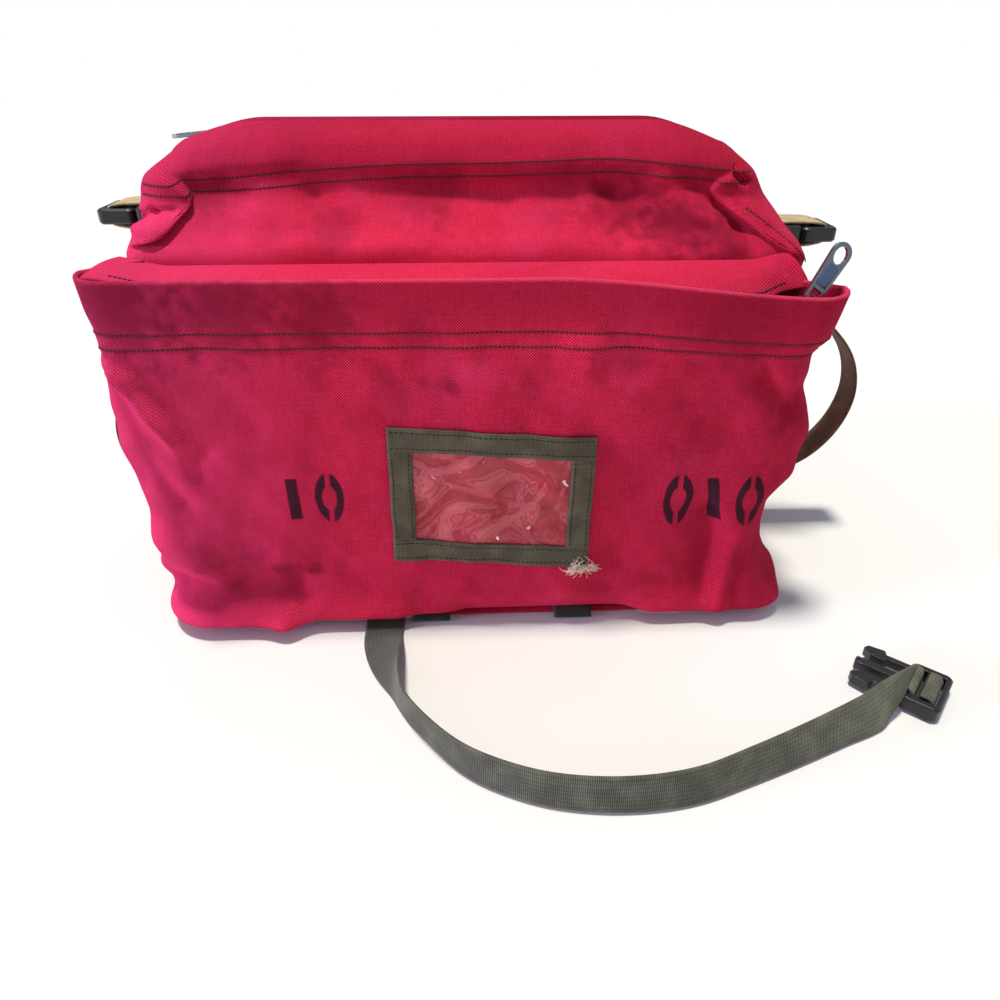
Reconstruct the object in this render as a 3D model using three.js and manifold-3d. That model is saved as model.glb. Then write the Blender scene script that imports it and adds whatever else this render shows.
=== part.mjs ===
// Canvas pack with a wraparound front pocket, standing on its base with its long strap laid out.
// Millimetres, +Z up, front towards -Y. The origin is on the floor under the middle of the base panel.

import * as THREE from 'three';
import { mergeVertices } from 'three/addons/utils/BufferGeometryUtils.js';
import Module from 'manifold-3d';

const wasm = await Module();
wasm.setup();

// Cloth, webbing and clearances
const CLOTH = 2.0;
const HEM_CLOTH = 2.8;
const GAP = 0.3;
const WEB_WIDTH = 25;
const WEB_THICK = 1.6;
const TAPE_THICK = 1.2;
const VINYL_THICK = 0.5;

// Base panel
const BASE = { left: -184, right: 188, front: -94, back: 88, corner: 22, thick: 2.0 };

// Front pocket: a canvas wall that wraps round three sides and is sewn to the main wall at both ends.
// Sections from the bottom rim to the hem; droop is how far the right end hangs.
const SEAM_Y = -50 - GAP;
const SEAM_HALF = 181;
const SEAM_FADE = { from: 2.2, to: 3 };
const POCKET_DROOP = { from: 40, to: 205 };
const HEM_DEPTH = 26;
const HEM_TOP = 226;
const HEM_DROOP = 13;
const POCKET_SECTIONS = [
  { z: 4.2, left: -181, right: 196, front: -93, corner: 20, droop: 0, steps: 2 },
  { z: 12, left: -191, right: 209, front: -103, corner: 24, droop: 0, steps: 2 },
  { z: 32, left: -197, right: 204, front: -102, corner: 24, droop: 0, steps: 2 },
  { z: 58, left: -198, right: 191, front: -100, corner: 24, droop: 0, steps: 2 },
  { z: 80, left: -200, right: 191, front: -100, corner: 24, droop: 0, steps: 2 },
  { z: 103, left: -204, right: 205, front: -100, corner: 24, droop: 1, steps: 2 },
  { z: 134, left: -207, right: 208, front: -100, corner: 24, droop: 3, steps: 2 },
  { z: 163, left: -206, right: 202, front: -100, corner: 24, droop: 6, steps: 2 },
  { z: 186, left: -204, right: 202, front: -100, corner: 24, droop: 9, steps: 2 },
  { z: HEM_TOP - HEM_DEPTH, left: -204, right: 209, front: -100, corner: 24, droop: 11, steps: 2 },
  { z: HEM_TOP, left: -205, right: 214, front: -101, corner: 24, droop: HEM_DROOP, steps: 1 },
];

// Dents and ridges: a line from (s0, z0) to (s1, z1), its half width, and how far it is pushed out.
// A higher power makes the sides of the fold steeper.
// s is the distance along the wall from the middle of the front, positive to the right.
const POCKET_FOLDS = [
  { s0: 10, z0: 120, s1: 20, z1: 100, width: 120, push: 4, power: 2 },
  { s0: -195, z0: 188, s1: -163, z1: 139, width: 9, push: 5, power: 2 },
  { s0: -204, z0: 166, s1: -182, z1: 134, width: 10, push: -5, power: 2 },
  { s0: -163, z0: 138, s1: -160, z1: 115, width: 8, push: -4, power: 2 },
  { s0: -186, z0: 121, s1: -172, z1: 95, width: 9, push: -3, power: 2 },
  { s0: -188, z0: 70, s1: -158, z1: 48, width: 14, push: 5, power: 2 },
  { s0: -198, z0: 33, s1: -110, z1: 30, width: 9, push: -7, power: 2 },
  { s0: -110, z0: 30, s1: -48, z1: 41, width: 10, push: -3, power: 2 },
  { s0: -206, z0: 9, s1: -120, z1: 9, width: 12, push: 11, power: 2 },
  { s0: -120, z0: 9, s1: -50, z1: 9, width: 11, push: 5, power: 2 },
  { s0: 0, z0: 10, s1: 100, z1: 10, width: 12, push: -5, power: 2 },
  { s0: 167, z0: 61, s1: 161, z1: 16, width: 7, push: 5, power: 2 },
  { s0: 148, z0: 79, s1: 152, z1: 30, width: 9, push: -5, power: 2 },
  { s0: 168, z0: 174, s1: 188, z1: 152, width: 9, push: -7, power: 2 },
  { s0: 120, z0: 8, s1: 200, z1: 8, width: 16, push: 6, power: 2 },
  { s0: -9, z0: 168, s1: -9, z1: 167, width: 14, push: -3, power: 2 },
  { s0: 66, z0: 179, s1: 87, z1: 162, width: 14, push: 3, power: 2 },
];

// Main wall: front, side and back panels of canvas that lean back above the pocket and close to a mouth.
// droop is how far both ends of the mouth hang.
const MAIN_DROOP = { left: { from: 122, to: 202 }, right: { from: 115, to: 185 } };
const MAIN_SECTIONS = [
  { z: 2.3, left: -184, right: 184, front: -46, back: 86, corner: 14, backCorner: 24, droop: 0, steps: 1 },
  { z: 14, left: -196, right: 196, front: -50, back: 98, corner: 14, backCorner: 26, droop: 0, steps: 1 },
  { z: 90, left: -197, right: 197, front: -50, back: 101, corner: 14, backCorner: 28, droop: 0, steps: 2 },
  { z: 170, left: -197, right: 198, front: -50, back: 100, corner: 14, backCorner: 28, droop: 0, steps: 2 },
  { z: 223, left: -196, right: 199, front: -50, back: 92, corner: 15, backCorner: 26, droop: 0, steps: 3 },
  { z: 240, left: -193, right: 189, front: -33, back: 84, corner: 20, backCorner: 24, droop: 0, steps: 3 },
  { z: 258, left: -185, right: 180, front: -17, back: 75, corner: 22, backCorner: 22, droop: 3, steps: 3 },
  { z: 270, left: -180, right: 175, front: -17.5, back: 66, corner: 22, backCorner: 20, droop: 7, steps: 2 },
  { z: 280, left: -174, right: 170, front: -12.5, back: 57, corner: 20, backCorner: 18, droop: 10, steps: 2 },
  { z: 288, left: -170, right: 165, front: -2.5, back: 49, corner: 16, backCorner: 16, droop: 14, steps: 2 },
  { z: 292, left: -165, right: 160, front: 9, back: 40, corner: 12, backCorner: 12, droop: 18, steps: 1 },
  { z: 288, left: -157, right: 152, front: 16, back: 33, corner: 7, backCorner: 7, droop: 24, steps: 1 },
];
const MAIN_HEM = { from: 256, to: 262 };
const TUCK_FADE = { from: 254, to: 280 };
const MAIN_FOLDS = [
  { s0: 5, z0: 255, s1: 90, z1: 231, width: 14, push: -4, power: 2 },
  { s0: -110, z0: 251, s1: -60, z1: 247, width: 12, push: 3, power: 2 },
  { s0: -266, z0: 180, s1: -237, z1: 248, width: 35, push: -39, power: 4 },
  { s0: 270, z0: 176, s1: 250, z1: 238, width: 31, push: -32, power: 4 },
];

// Corner tucks of the main wall: beyond the crease line the cloth is pushed out and over the front.
const EAR_FADE = { from: 202, to: 228, foot: 8, headFrom: 272, headTo: 287 };
const EARS = [
  {
    side: -1, edge: 6, out: 9, over: 8, down: 2,
    crease: [
      { z: 226, s: 200 }, { z: 232, s: 187 }, { z: 238, s: 174 }, { z: 246, s: 167 },
      { z: 255, s: 160 }, { z: 264, s: 164 }, { z: 275, s: 173 }, { z: 290, s: 185 },
    ],
  },
  {
    side: 1, edge: 6, out: 5, over: 6, down: 1,
    crease: [
      { z: 219, s: 203 }, { z: 227, s: 191 }, { z: 235, s: 178 }, { z: 247, s: 162 },
      { z: 258, s: 151 }, { z: 264, s: 154 }, { z: 271, s: 162 }, { z: 290, s: 175 },
    ],
  },
];

// Columns of the cloth grids, as runs along the plan outline (front, corner, side, back corner, back)
const POCKET_RUNS = { front: 8, corner: 3, side: 2 };
// The main wall's front and side panels are seamed after a number of corner columns, and its side and back
// panels in the middle of each back corner
const MAIN_RUNS = { front: 10, corner: 3, seam: 2, side: 5, backCorner: 2, back: 4 };
const MAIN_CROWDING = { front: 0.62, back: 1.5 };

// Run positions and rows that are searched for a place on the main wall's side
const SEARCH = { from: 1.5, to: 3.5, rows: 7, step: 0.025 };

// Pocket mouth: the strip behind the zip, the zip tape and its slider
const STRIP = {
  backZ: 222, frontY: -82, cutFrom: 160, cutTo: 186, cutY: -66, crown: 2,
  left: -200, right: 195, seamHalf: 177,
};
const STRIP_GRID = { columns: 20, rows: 3 };
const STRIP_ABOVE_TAPE = 2.6;
const ZIP_BELOW_HEM = 11;
const ZIP_TAPE = {
  width: 18, thick: 1.2, y: -88, left: -180, corner: 178, turn: 14, right: 192, spans: 8, arcs: 3, steps: 24,
};
const ZIP_SLIDER = { width: 9, length: 13, plate: 2.2, corner: 2.5 };
const ZIP_BAIL = { span: 8, height: 3.2, wire: 1.2, width: 2.0, sunk: 1, corner: 1.5, inner: 0.8 };
const ZIP_PULL = {
  length: 35, base: 10, head: 12.5, thick: 2.0, bar: 0.9, eyeHalf: 3.2, eyeEnd: 5.8, recess: 0.4, rim: 1.2,
};
const PULL_HOLE = { width: 8, height: 10.5, below: 7.5 };
const POCKET_PULL = { x: 190, y: -84, lean: 35, back: 18 };
const MAIN_PULL = { x: -140, y: 24.5, rise: -5.5 };
const MAIN_ZIP = { left: -152, right: 147, width: 20, thick: 1.2, below: 3.9, spans: 12, steps: 22 };

// Name window on the pocket front: four tapes over a clear sheet
const WINDOW = { x: 14, z: 95.3, width: 121, height: 90, turn: -4.2, lean: -0.8, tape: 14, margin: 2 };

// Side-release buckles, in their own frame: +X to the closed end of the toothed half, Z across the webbing
const BUCKLE = {
  width: 36, thick: 9, baseBack: -8, baseEnd: 15, corner: 4, slotHalf: 13.2,
  slots: [[-3, 1.6], [8.2, 11.6]], barHalf: 2.6, prongThick: 6, prongTip: -36, spine: 2.6, root: -6,
  bevel: 1.2,
};

// Outline of one barbed arm of a buckle, from the root along its inner side and back
const ARM_OUTLINE = [
  [BUCKLE.root, 11], [-20, 11], [-21.8, 8.6], [-30, 9.4], [-35, 13.4], [-33.4, 16.4], [-24, 17.8],
  [-22, 14.4], [BUCKLE.root, 14.4],
];
const SLEEVE = {
  mouth: -8.3, rear: -44.3, thick: 11, wall: 2.8, play: 0.6, depth: -37.5, slot: [-42.4, -39.4],
  window: [-37, -21.4],
};
const SIDE_BUCKLES = {
  right: { side: 1, x: 227, y: 22, z: 225 },
  left: { side: -1, x: -210, y: 22, z: 239.5 },
};

// Webbing over each side buckle, in the buckle's frame: along X and up Z
const SIDE_TAB_ROUTE = [
  { x: -42, z: 7.0 }, { x: -25, z: 6.9 }, { x: -9, z: 6.9 }, { x: 3, z: 6.3 }, { x: 8.5, z: 4.7 },
  { x: 10, z: 0 }, { x: 8.5, z: -4.7 }, { x: 2, z: -6.8 }, { x: -9, z: -8.2 }, { x: -18, z: -10 },
];
const TAB_CLEAR = 5;

// Slack side straps: distance out from the middle and height, from the sleeve down to the wall
const SIDE_STRAPS = {
  right: [
    { out: 191, z: 203 }, { out: 217, z: 186 }, { out: 252, z: 165 }, { out: 276, z: 139 },
    { out: 284, z: 112 }, { out: 279, z: 86 }, { out: 264, z: 64 }, { out: 243, z: 50 },
    { out: 220, z: 44 },
  ],
  left: [
    { out: 178, z: 214 }, { out: 200, z: 194 }, { out: 224, z: 168 }, { out: 241, z: 140 },
    { out: 248, z: 114 }, { out: 245, z: 90 }, { out: 235, z: 69 }, { out: 221, z: 54 },
    { out: 209, z: 46 },
  ],
};
const STRAP_SEWN = [
  { z: 42, off: 6 }, { z: 36, off: 1.8 }, { z: 30, off: 0.9 }, { z: 23, off: 0.6 }, { z: 16, off: 0.6 },
];
const STRAP_START = [{ x: 0, z: 3 }, { x: 0, z: -6 }, { x: 2, z: -13 }];

// Long strap on the floor: plan route and tilt of the webbing, 0 flat and 90 standing on its edge
const BELT_ROUTE = [
  { x: -57, y: -118, tilt: 2 }, { x: -55, y: -132, tilt: 8 }, { x: -51, y: -150, tilt: 20 },
  { x: -45, y: -168, tilt: 42 }, { x: -38, y: -187, tilt: 64 }, { x: -26, y: -204, tilt: 80 },
  { x: -8, y: -224, tilt: 86 }, { x: 8, y: -235, tilt: 88 }, { x: 34, y: -246, tilt: 88 },
  { x: 62, y: -251, tilt: 87 }, { x: 90, y: -251, tilt: 85 }, { x: 114, y: -247, tilt: 83 },
  { x: 142, y: -237, tilt: 80 }, { x: 172, y: -225, tilt: 76 }, { x: 204, y: -211, tilt: 71 },
  { x: 223, y: -202, tilt: 63 },
];

// Where the webbing turns over towards its buckle: centre, and direction across the webbing
const BELT_TURN = [
  { x: 240, y: -191, z: 13.5, ax: 0.30, ay: 0.65, az: 0.70 },
  { x: 251, y: -183.5, z: 15.5, ax: 0.58, ay: 0.77, az: 0.26 },
];
const BELT_SEWN = { x: -57, inY: -84, edgeY: -94, floorY: -106 };
const BELT_BUCKLE = { x: 261.5, y: -180, z: 5.7, turn: -42 };
const BELT_LOOP = [
  { x: -4.8, z: 7.0 }, { x: -1.6, z: 5.4 }, { x: -0.7, z: 1.6 },
  { x: 0.2, z: -3.2 }, { x: 2.6, z: -4.6 }, { x: 7.2, z: -4.6 }, { x: 9.4, z: -3.2 }, { x: 10.1, z: 0 },
  { x: 9.5, z: 3.4 }, { x: 7.4, z: 5.2 }, { x: 5, z: 5.4 }, { x: 2.8, z: 5.4 },
];

// Two short lash tabs sewn in under the pocket's front edge
const LASH_TABS = [{ name: 'lash_tab_left', x: -27 }, { name: 'lash_tab_right', x: 68 }];
const LASH_TAB = { inY: -86, edgeY: -94, outY: -104 };

// Steps along each length of webbing
const STEPS = { tab: 22, strap: 32, belt: 66, lash: 6 };

const QUARTER = Math.PI / 2;
const DEGREE = Math.PI / 180;

// Finishes
const FINISH = {
  canvas: { color: 0xb0203f, roughness: 0.9, metalness: 0 },
  webbing: { color: 0x5c5d4a, roughness: 0.85, metalness: 0 },
  tanWebbing: { color: 0xb9a67e, roughness: 0.85, metalness: 0 },
  brownWebbing: { color: 0x3d3020, roughness: 0.85, metalness: 0 },
  tape: { color: 0x60543f, roughness: 0.9, metalness: 0 },
  vinyl: { color: 0xc8a0a4, roughness: 0.15, metalness: 0 },
  plastic: { color: 0x1b1a1c, roughness: 0.45, metalness: 0 },
  steel: { color: 0x9aa3ad, roughness: 0.3, metalness: 1 },
  zipTape: { color: 0x4a1420, roughness: 0.85, metalness: 0 },
};

const pack = new THREE.Group();

/** Adds one named piece to a group, with its own material. */
function addPiece(name, geometry, finish, parent = pack) {
  const piece = new THREE.Mesh(geometry, new THREE.MeshStandardMaterial(finish));
  piece.name = name;
  parent.add(piece);
  return piece;
}

/** Smooth 0 to 1 ramp between two values. */
function ramp(from, to, value) {
  const t = Math.min(1, Math.max(0, (value - from) / (to - from)));
  return t * t * (3 - 2 * t);
}

/** Value of a column between rows, on a cubic that never overshoots its rows. */
function columnAt(rows, key, t) {
  const last = rows.length - 1;
  const i = Math.min(last - 1, Math.max(0, Math.floor(t)));
  const u = t - i;
  const step = (k) => rows[k + 1][key] - rows[k][key];
  const slope = (k) => {
    if (k <= 0) return step(0);
    if (k >= last) return step(last - 1);
    const before = step(k - 1);
    const after = step(k);
    return before * after <= 0 ? 0 : (2 * before * after) / (before + after);
  };
  const rise = step(i);
  const bend = 3 * rise - 2 * slope(i) - slope(i + 1);
  const twist = slope(i) + slope(i + 1) - 2 * rise;
  return rows[i][key] + u * (slope(i) + u * (bend + u * twist));
}

/** All columns of a section table at one row position. */
function sectionAt(rows, t) {
  const section = {};
  for (const key of Object.keys(rows[0])) section[key] = columnAt(rows, key, t);
  return section;
}

/** Row positions of a section table, each interval cut into its own number of steps. */
function rowPositions(rows) {
  const positions = [];
  rows.slice(0, -1).forEach((row, i) => {
    for (let k = 0; k < row.steps; k += 1) positions.push(i + k / row.steps);
  });
  positions.push(rows.length - 1);
  return positions;
}

/** Row position of a table whose key column rises, at one value of that column. */
function rowAt(rows, key, value) {
  let low = 0;
  let high = rows.length - 1;
  for (let pass = 0; pass < 40; pass += 1) {
    const middle = (low + high) / 2;
    if (columnAt(rows, key, middle) < value) low = middle;
    else high = middle;
  }
  return low;
}

/** Crease distance of an ear at one height, held beyond its first and last rows. */
function creaseAt(ear, z) {
  const rows = ear.crease;
  if (z <= rows[0].z) return rows[0].s;
  if (z >= rows[rows.length - 1].z) return rows[rows.length - 1].s;
  return columnAt(rows, 's', rowAt(rows, 'z', z));
}

/** Push of a fold table at a place on the wall: each row is a ridge with a bell-shaped section. */
function foldPush(folds, s, z) {
  let push = 0;
  for (const fold of folds) {
    const ds = fold.s1 - fold.s0;
    const dz = fold.z1 - fold.z0;
    const along = ((s - fold.s0) * ds + (z - fold.z0) * dz) / (ds * ds + dz * dz);
    const t = Math.min(1, Math.max(0, along));
    const away = Math.hypot(s - fold.s0 - t * ds, z - fold.z0 - t * dz) / fold.width;
    push += fold.push * Math.exp(-(away ** fold.power));
  }
  return push;
}

/**
 * Point of a plan outline at a run position: 0 to 1 is the front from its middle, 1 to 2 the corner arc,
 * 2 to 3 the side, 3 to 4 the back corner arc and 4 to 5 the back. A negative position is the left half.
 */
function planPoint(section, position) {
  const side = position < 0 ? -1 : 1;
  const run = Math.abs(position);
  const half = side < 0 ? -section.left : section.right;
  const flat = half - section.corner;
  const arc = section.corner * QUARTER;
  const sideStart = section.front + section.corner;
  const seamed = section.back === undefined;
  const endX = seamed ? SEAM_HALF : half;
  const endY = seamed ? SEAM_Y : section.back - section.backCorner;
  if (run <= 1) {
    return { x: side * flat * run, y: section.front, nx: 0, ny: -1, s: side * flat * run };
  }
  if (run <= 2) {
    const turn = (run - 1) * QUARTER;
    const x = side * (flat + section.corner * Math.sin(turn));
    const y = section.front + section.corner * (1 - Math.cos(turn));
    return { x, y, nx: side * Math.sin(turn), ny: -Math.cos(turn), s: side * (flat + section.corner * turn) };
  }
  if (run <= 3) {
    const t = run - 2;
    const length = Math.hypot(endX - half, endY - sideStart);
    const x = side * (half + t * (endX - half));
    return { x, y: sideStart + t * (endY - sideStart), nx: side, ny: 0, s: side * (flat + arc + t * length) };
  }
  const sideLength = endY - sideStart;
  const backFlat = half - section.backCorner;
  const backStart = flat + arc + sideLength;
  if (run <= 4) {
    const turn = (run - 3) * QUARTER;
    const x = side * (backFlat + section.backCorner * Math.cos(turn));
    const y = endY + section.backCorner * Math.sin(turn);
    const s = side * (backStart + section.backCorner * turn);
    return { x, y, nx: side * Math.cos(turn), ny: Math.sin(turn), s };
  }
  const t = run - 4;
  const s = side * (backStart + section.backCorner * QUARTER + t * backFlat);
  return { x: side * backFlat * (1 - t), y: section.back, nx: 0, ny: 1, s };
}

/** How far the pocket's hem hangs at one place across the front. */
function pocketDroop(x) {
  return ramp(POCKET_DROOP.from, POCKET_DROOP.to, x);
}

/** Outer face of the pocket wall. */
function pocketPoint(position, row) {
  const section = sectionAt(POCKET_SECTIONS, row);
  const plan = planPoint(section, position);
  const fade = 1 - ramp(SEAM_FADE.from, SEAM_FADE.to, Math.abs(position));
  const push = foldPush(POCKET_FOLDS, plan.s, section.z) * fade;
  const z = section.z - section.droop * pocketDroop(plan.x);
  return new THREE.Vector3(plan.x + plan.nx * push, plan.y + plan.ny * push, z);
}

/** How far the mouth of the main wall hangs at one place across the pack. */
function mainDroop(x) {
  const end = x < 0 ? MAIN_DROOP.left : MAIN_DROOP.right;
  return ramp(end.from, end.to, Math.abs(x));
}

/** Outer face of the main wall, with its folds and its two corner tucks. */
function mainPoint(position, row) {
  const section = sectionAt(MAIN_SECTIONS, row);
  const plan = planPoint(section, position);
  const z = section.z - section.droop * mainDroop(plan.x);
  let push = foldPush(MAIN_FOLDS, plan.s, section.z) * (1 - ramp(TUCK_FADE.from, TUCK_FADE.to, section.z));
  let over = 0;
  let down = 0;
  for (const ear of EARS) {
    const reach = ear.side * plan.s;
    const inside = ramp(-ear.edge, ear.edge, reach - creaseAt(ear, section.z));
    const foot = ramp(ear.crease[0].z - EAR_FADE.foot, ear.crease[0].z, section.z);
    const head = 1 - ramp(EAR_FADE.headFrom, EAR_FADE.headTo, section.z);
    const amount = inside * foot * head * (1 - ramp(EAR_FADE.from, EAR_FADE.to, reach));
    push += ear.out * amount;
    over += ear.side * ear.over * amount;
    down += ear.down * amount;
  }
  const x = plan.x + plan.nx * push + plan.ny * over;
  const y = plan.y + plan.ny * push - plan.nx * over;
  return new THREE.Vector3(x, y, z - down);
}

/** Even run positions of one stretch, without its start. */
function stretch(from, to, count) {
  return Array.from({ length: count }, (_, k) => from + ((to - from) * (k + 1)) / count);
}

/** Unit normal of a surface at a place on its grid, from its neighbours. */
function gridNormal(grid, i, j, closed) {
  const columns = grid.length;
  const rows = grid[0].length;
  const left = closed ? (i + columns - 1) % columns : Math.max(0, i - 1);
  const right = closed ? (i + 1) % columns : Math.min(columns - 1, i + 1);
  const across = grid[right][j].clone().sub(grid[left][j]);
  const up = grid[i][Math.min(rows - 1, j + 1)].clone().sub(grid[i][Math.max(0, j - 1)]);
  return across.cross(up).normalize();
}

/** Closed geometry from points and triangles. */
function geometryOf(points, triangles) {
  const geometry = new THREE.BufferGeometry();
  const values = points.flatMap((p) => [p.x, p.y, p.z]);
  geometry.setAttribute('position', new THREE.Float32BufferAttribute(values, 3));
  geometry.setIndex(triangles.flat());
  return geometry;
}

/** Closed sheet between an outer and an inner grid, joined along its borders. */
function sheetGeometry(outer, inner) {
  const columns = outer.length;
  const rows = outer[0].length;
  const points = [...outer.flat(), ...inner.flat()];
  const at = (i, j) => i * rows + j;
  const under = (i, j) => columns * rows + at(i, j);
  const triangles = [];
  const quad = (a, b, c, d) => triangles.push([a, b, c], [a, c, d]);
  for (let i = 0; i < columns - 1; i += 1) {
    for (let j = 0; j < rows - 1; j += 1) {
      quad(at(i, j), at(i + 1, j), at(i + 1, j + 1), at(i, j + 1));
      quad(under(i, j), under(i, j + 1), under(i + 1, j + 1), under(i + 1, j));
    }
    quad(at(i + 1, 0), at(i, 0), under(i, 0), under(i + 1, 0));
    quad(at(i, rows - 1), at(i + 1, rows - 1), under(i + 1, rows - 1), under(i, rows - 1));
  }
  for (let j = 0; j < rows - 1; j += 1) {
    quad(at(0, j + 1), under(0, j + 1), under(0, j), at(0, j));
    quad(at(columns - 1, j + 1), at(columns - 1, j), under(columns - 1, j), under(columns - 1, j + 1));
  }
  return geometryOf(points, triangles);
}

/** Inner face of a cloth wall: its outer grid moved in along the normals by the wall's thickness. */
function innerGrid(grid, closed, thickness) {
  return grid.map((column, i) => column.map((point, j) => {
    return point.clone().addScaledVector(gridNormal(grid, i, j, closed), -thickness(point));
  }));
}

/** Columns of a grid with both end columns drawn in by half a gap, for a seam. */
function drawnIn(columns) {
  const last = columns.length - 1;
  const towards = (column, next) => column.map((point, j) => {
    return point.clone().lerp(next[j], GAP / 2 / point.distanceTo(next[j]));
  });
  return columns.map((column, i) => {
    if (i === 0) return towards(column, columns[1]);
    return i === last ? towards(column, columns[last - 1]) : column;
  });
}

/** Webbing carried along stations: each station has a centre and a direction across the webbing. */
function webbingGeometry(stations, width, thick, steps) {
  const route = new THREE.CatmullRomCurve3(stations.map((station) => station.at), false, 'centripetal');
  const across = new THREE.CatmullRomCurve3(stations.map((station) => station.across), false, 'centripetal');
  const points = [];
  for (let k = 0; k <= steps; k += 1) {
    const t = k / steps;
    const at = route.getPoint(t);
    const ahead = route.getTangent(t);
    const side = across.getPoint(t).normalize();
    const face = ahead.clone().cross(side).normalize();
    for (const [w, f] of [[-1, -1], [1, -1], [1, 1], [-1, 1]]) {
      const corner = at.clone().addScaledVector(side, (w * width) / 2);
      points.push(corner.addScaledVector(face, (f * thick) / 2));
    }
  }
  const triangles = [];
  for (let k = 0; k < steps; k += 1) {
    for (let c = 0; c < 4; c += 1) {
      const a = 4 * k + c;
      const b = 4 * k + ((c + 1) % 4);
      triangles.push([a, b, b + 4], [a, b + 4, a + 4]);
    }
  }
  const end = 4 * steps;
  triangles.push([0, 2, 1], [0, 3, 2], [end, end + 1, end + 2], [end, end + 2, end + 3]);
  return geometryOf(points, triangles);
}

/** Solid of a closed geometry, for cutting and joining. */
function solidOf(geometry) {
  const bare = geometry.clone();
  bare.deleteAttribute('normal');
  bare.deleteAttribute('uv');
  const merged = mergeVertices(bare, 1e-4);
  return new wasm.Manifold(new wasm.Mesh({
    numProp: 3,
    vertProperties: new Float32Array(merged.attributes.position.array),
    triVerts: new Uint32Array(merged.index.array),
  }));
}

/** Geometry of a cut or joined solid. */
function geometryFrom(solid) {
  const mesh = solid.getMesh();
  const geometry = new THREE.BufferGeometry();
  geometry.setAttribute('position', new THREE.Float32BufferAttribute(mesh.vertProperties, 3));
  geometry.setIndex(new THREE.Uint32BufferAttribute(mesh.triVerts, 1));
  return geometry;
}

/** Rectangle with round corners, as a shape. */
function roundedRectangle(x0, y0, x1, y1, radius) {
  const shape = new THREE.Shape();
  shape.moveTo(x0 + radius, y0);
  shape.lineTo(x1 - radius, y0);
  shape.absarc(x1 - radius, y0 + radius, radius, -QUARTER, 0, false);
  shape.lineTo(x1, y1 - radius);
  shape.absarc(x1 - radius, y1 - radius, radius, 0, QUARTER, false);
  shape.lineTo(x0 + radius, y1);
  shape.absarc(x0 + radius, y1 - radius, radius, QUARTER, 2 * QUARTER, false);
  shape.lineTo(x0, y0 + radius);
  shape.absarc(x0 + radius, y0 + radius, radius, 2 * QUARTER, 3 * QUARTER, false);
  return shape;
}

/** Shape raised from z0 to z1 with a small bevel. */
function raised(shape, z0, z1, bevel = 0, curveSegments = 2) {
  const options = { depth: z1 - z0 - 2 * bevel, curveSegments, bevelEnabled: bevel > 0 };
  Object.assign(options, { bevelThickness: bevel, bevelSize: bevel, bevelOffset: -bevel, bevelSegments: 1 });
  return new THREE.ExtrudeGeometry(shape, options).translate(0, 0, z0 + bevel);
}

/** Box between two corners. */
function boxBetween(x0, y0, z0, x1, y1, z1) {
  const box = new THREE.BoxGeometry(x1 - x0, y1 - y0, z1 - z0);
  return box.translate((x0 + x1) / 2, (y0 + y1) / 2, (z0 + z1) / 2);
}

/** Toothed half of a side-release buckle: a frame with two slots, a spine and two barbed arms. */
function toothedHalf() {
  const half = BUCKLE.width / 2;
  const frame = roundedRectangle(BUCKLE.baseBack, -half, BUCKLE.baseEnd, half, BUCKLE.corner);
  let solid = solidOf(raised(frame, -BUCKLE.thick / 2, BUCKLE.thick / 2, BUCKLE.bevel));
  const tall = BUCKLE.thick;
  for (const [from, to] of BUCKLE.slots) {
    solid = solid.subtract(solidOf(boxBetween(from, -BUCKLE.slotHalf, -tall, to, BUCKLE.slotHalf, tall)));
  }
  const { barHalf, slotHalf, slots, root } = BUCKLE;
  const barTop = boxBetween(slots[0][0], -slotHalf, barHalf, slots[1][1], slotHalf, tall);
  const barUnder = barTop.clone().translate(0, 0, -tall - barHalf);
  solid = solid.subtract(solidOf(barTop)).subtract(solidOf(barUnder));
  const spine = roundedRectangle(BUCKLE.prongTip, -BUCKLE.spine, root, BUCKLE.spine, BUCKLE.bevel);
  const thick = BUCKLE.prongThick / 2;
  solid = solid.add(solidOf(raised(spine, -thick, thick)));
  for (const side of [-1, 1]) {
    const arm = new THREE.Shape();
    const ordered = side > 0 ? [...ARM_OUTLINE].reverse() : ARM_OUTLINE;
    ordered.forEach(([x, y], k) => (k ? arm.lineTo(x, side * y) : arm.moveTo(x, side * y)));
    solid = solid.add(solidOf(raised(arm, -thick, thick)));
  }
  return geometryFrom(solid);
}

/** Sleeve half of a side-release buckle: a flat box with an open mouth, side windows and a strap slot. */
function sleeveHalf() {
  const half = BUCKLE.width / 2;
  const tall = SLEEVE.thick;
  const cavity = BUCKLE.prongThick / 2 + SLEEVE.play;
  const inside = half - SLEEVE.wall;
  const body = roundedRectangle(SLEEVE.rear, -half, SLEEVE.mouth, half, BUCKLE.corner);
  let solid = solidOf(raised(body, -tall / 2, tall / 2, BUCKLE.bevel));
  const cuts = [
    boxBetween(SLEEVE.depth, -inside, -cavity, SLEEVE.mouth + 1, inside, cavity),
    boxBetween(SLEEVE.window[0], inside - 1, -cavity, SLEEVE.window[1], half + 1, cavity),
    boxBetween(SLEEVE.window[0], -half - 1, -cavity, SLEEVE.window[1], 1 - inside, cavity),
    boxBetween(SLEEVE.slot[0], -BUCKLE.slotHalf, -tall, SLEEVE.slot[1], BUCKLE.slotHalf, tall),
  ];
  for (const cut of cuts) solid = solid.subtract(solidOf(cut));
  return geometryFrom(solid);
}

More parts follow.
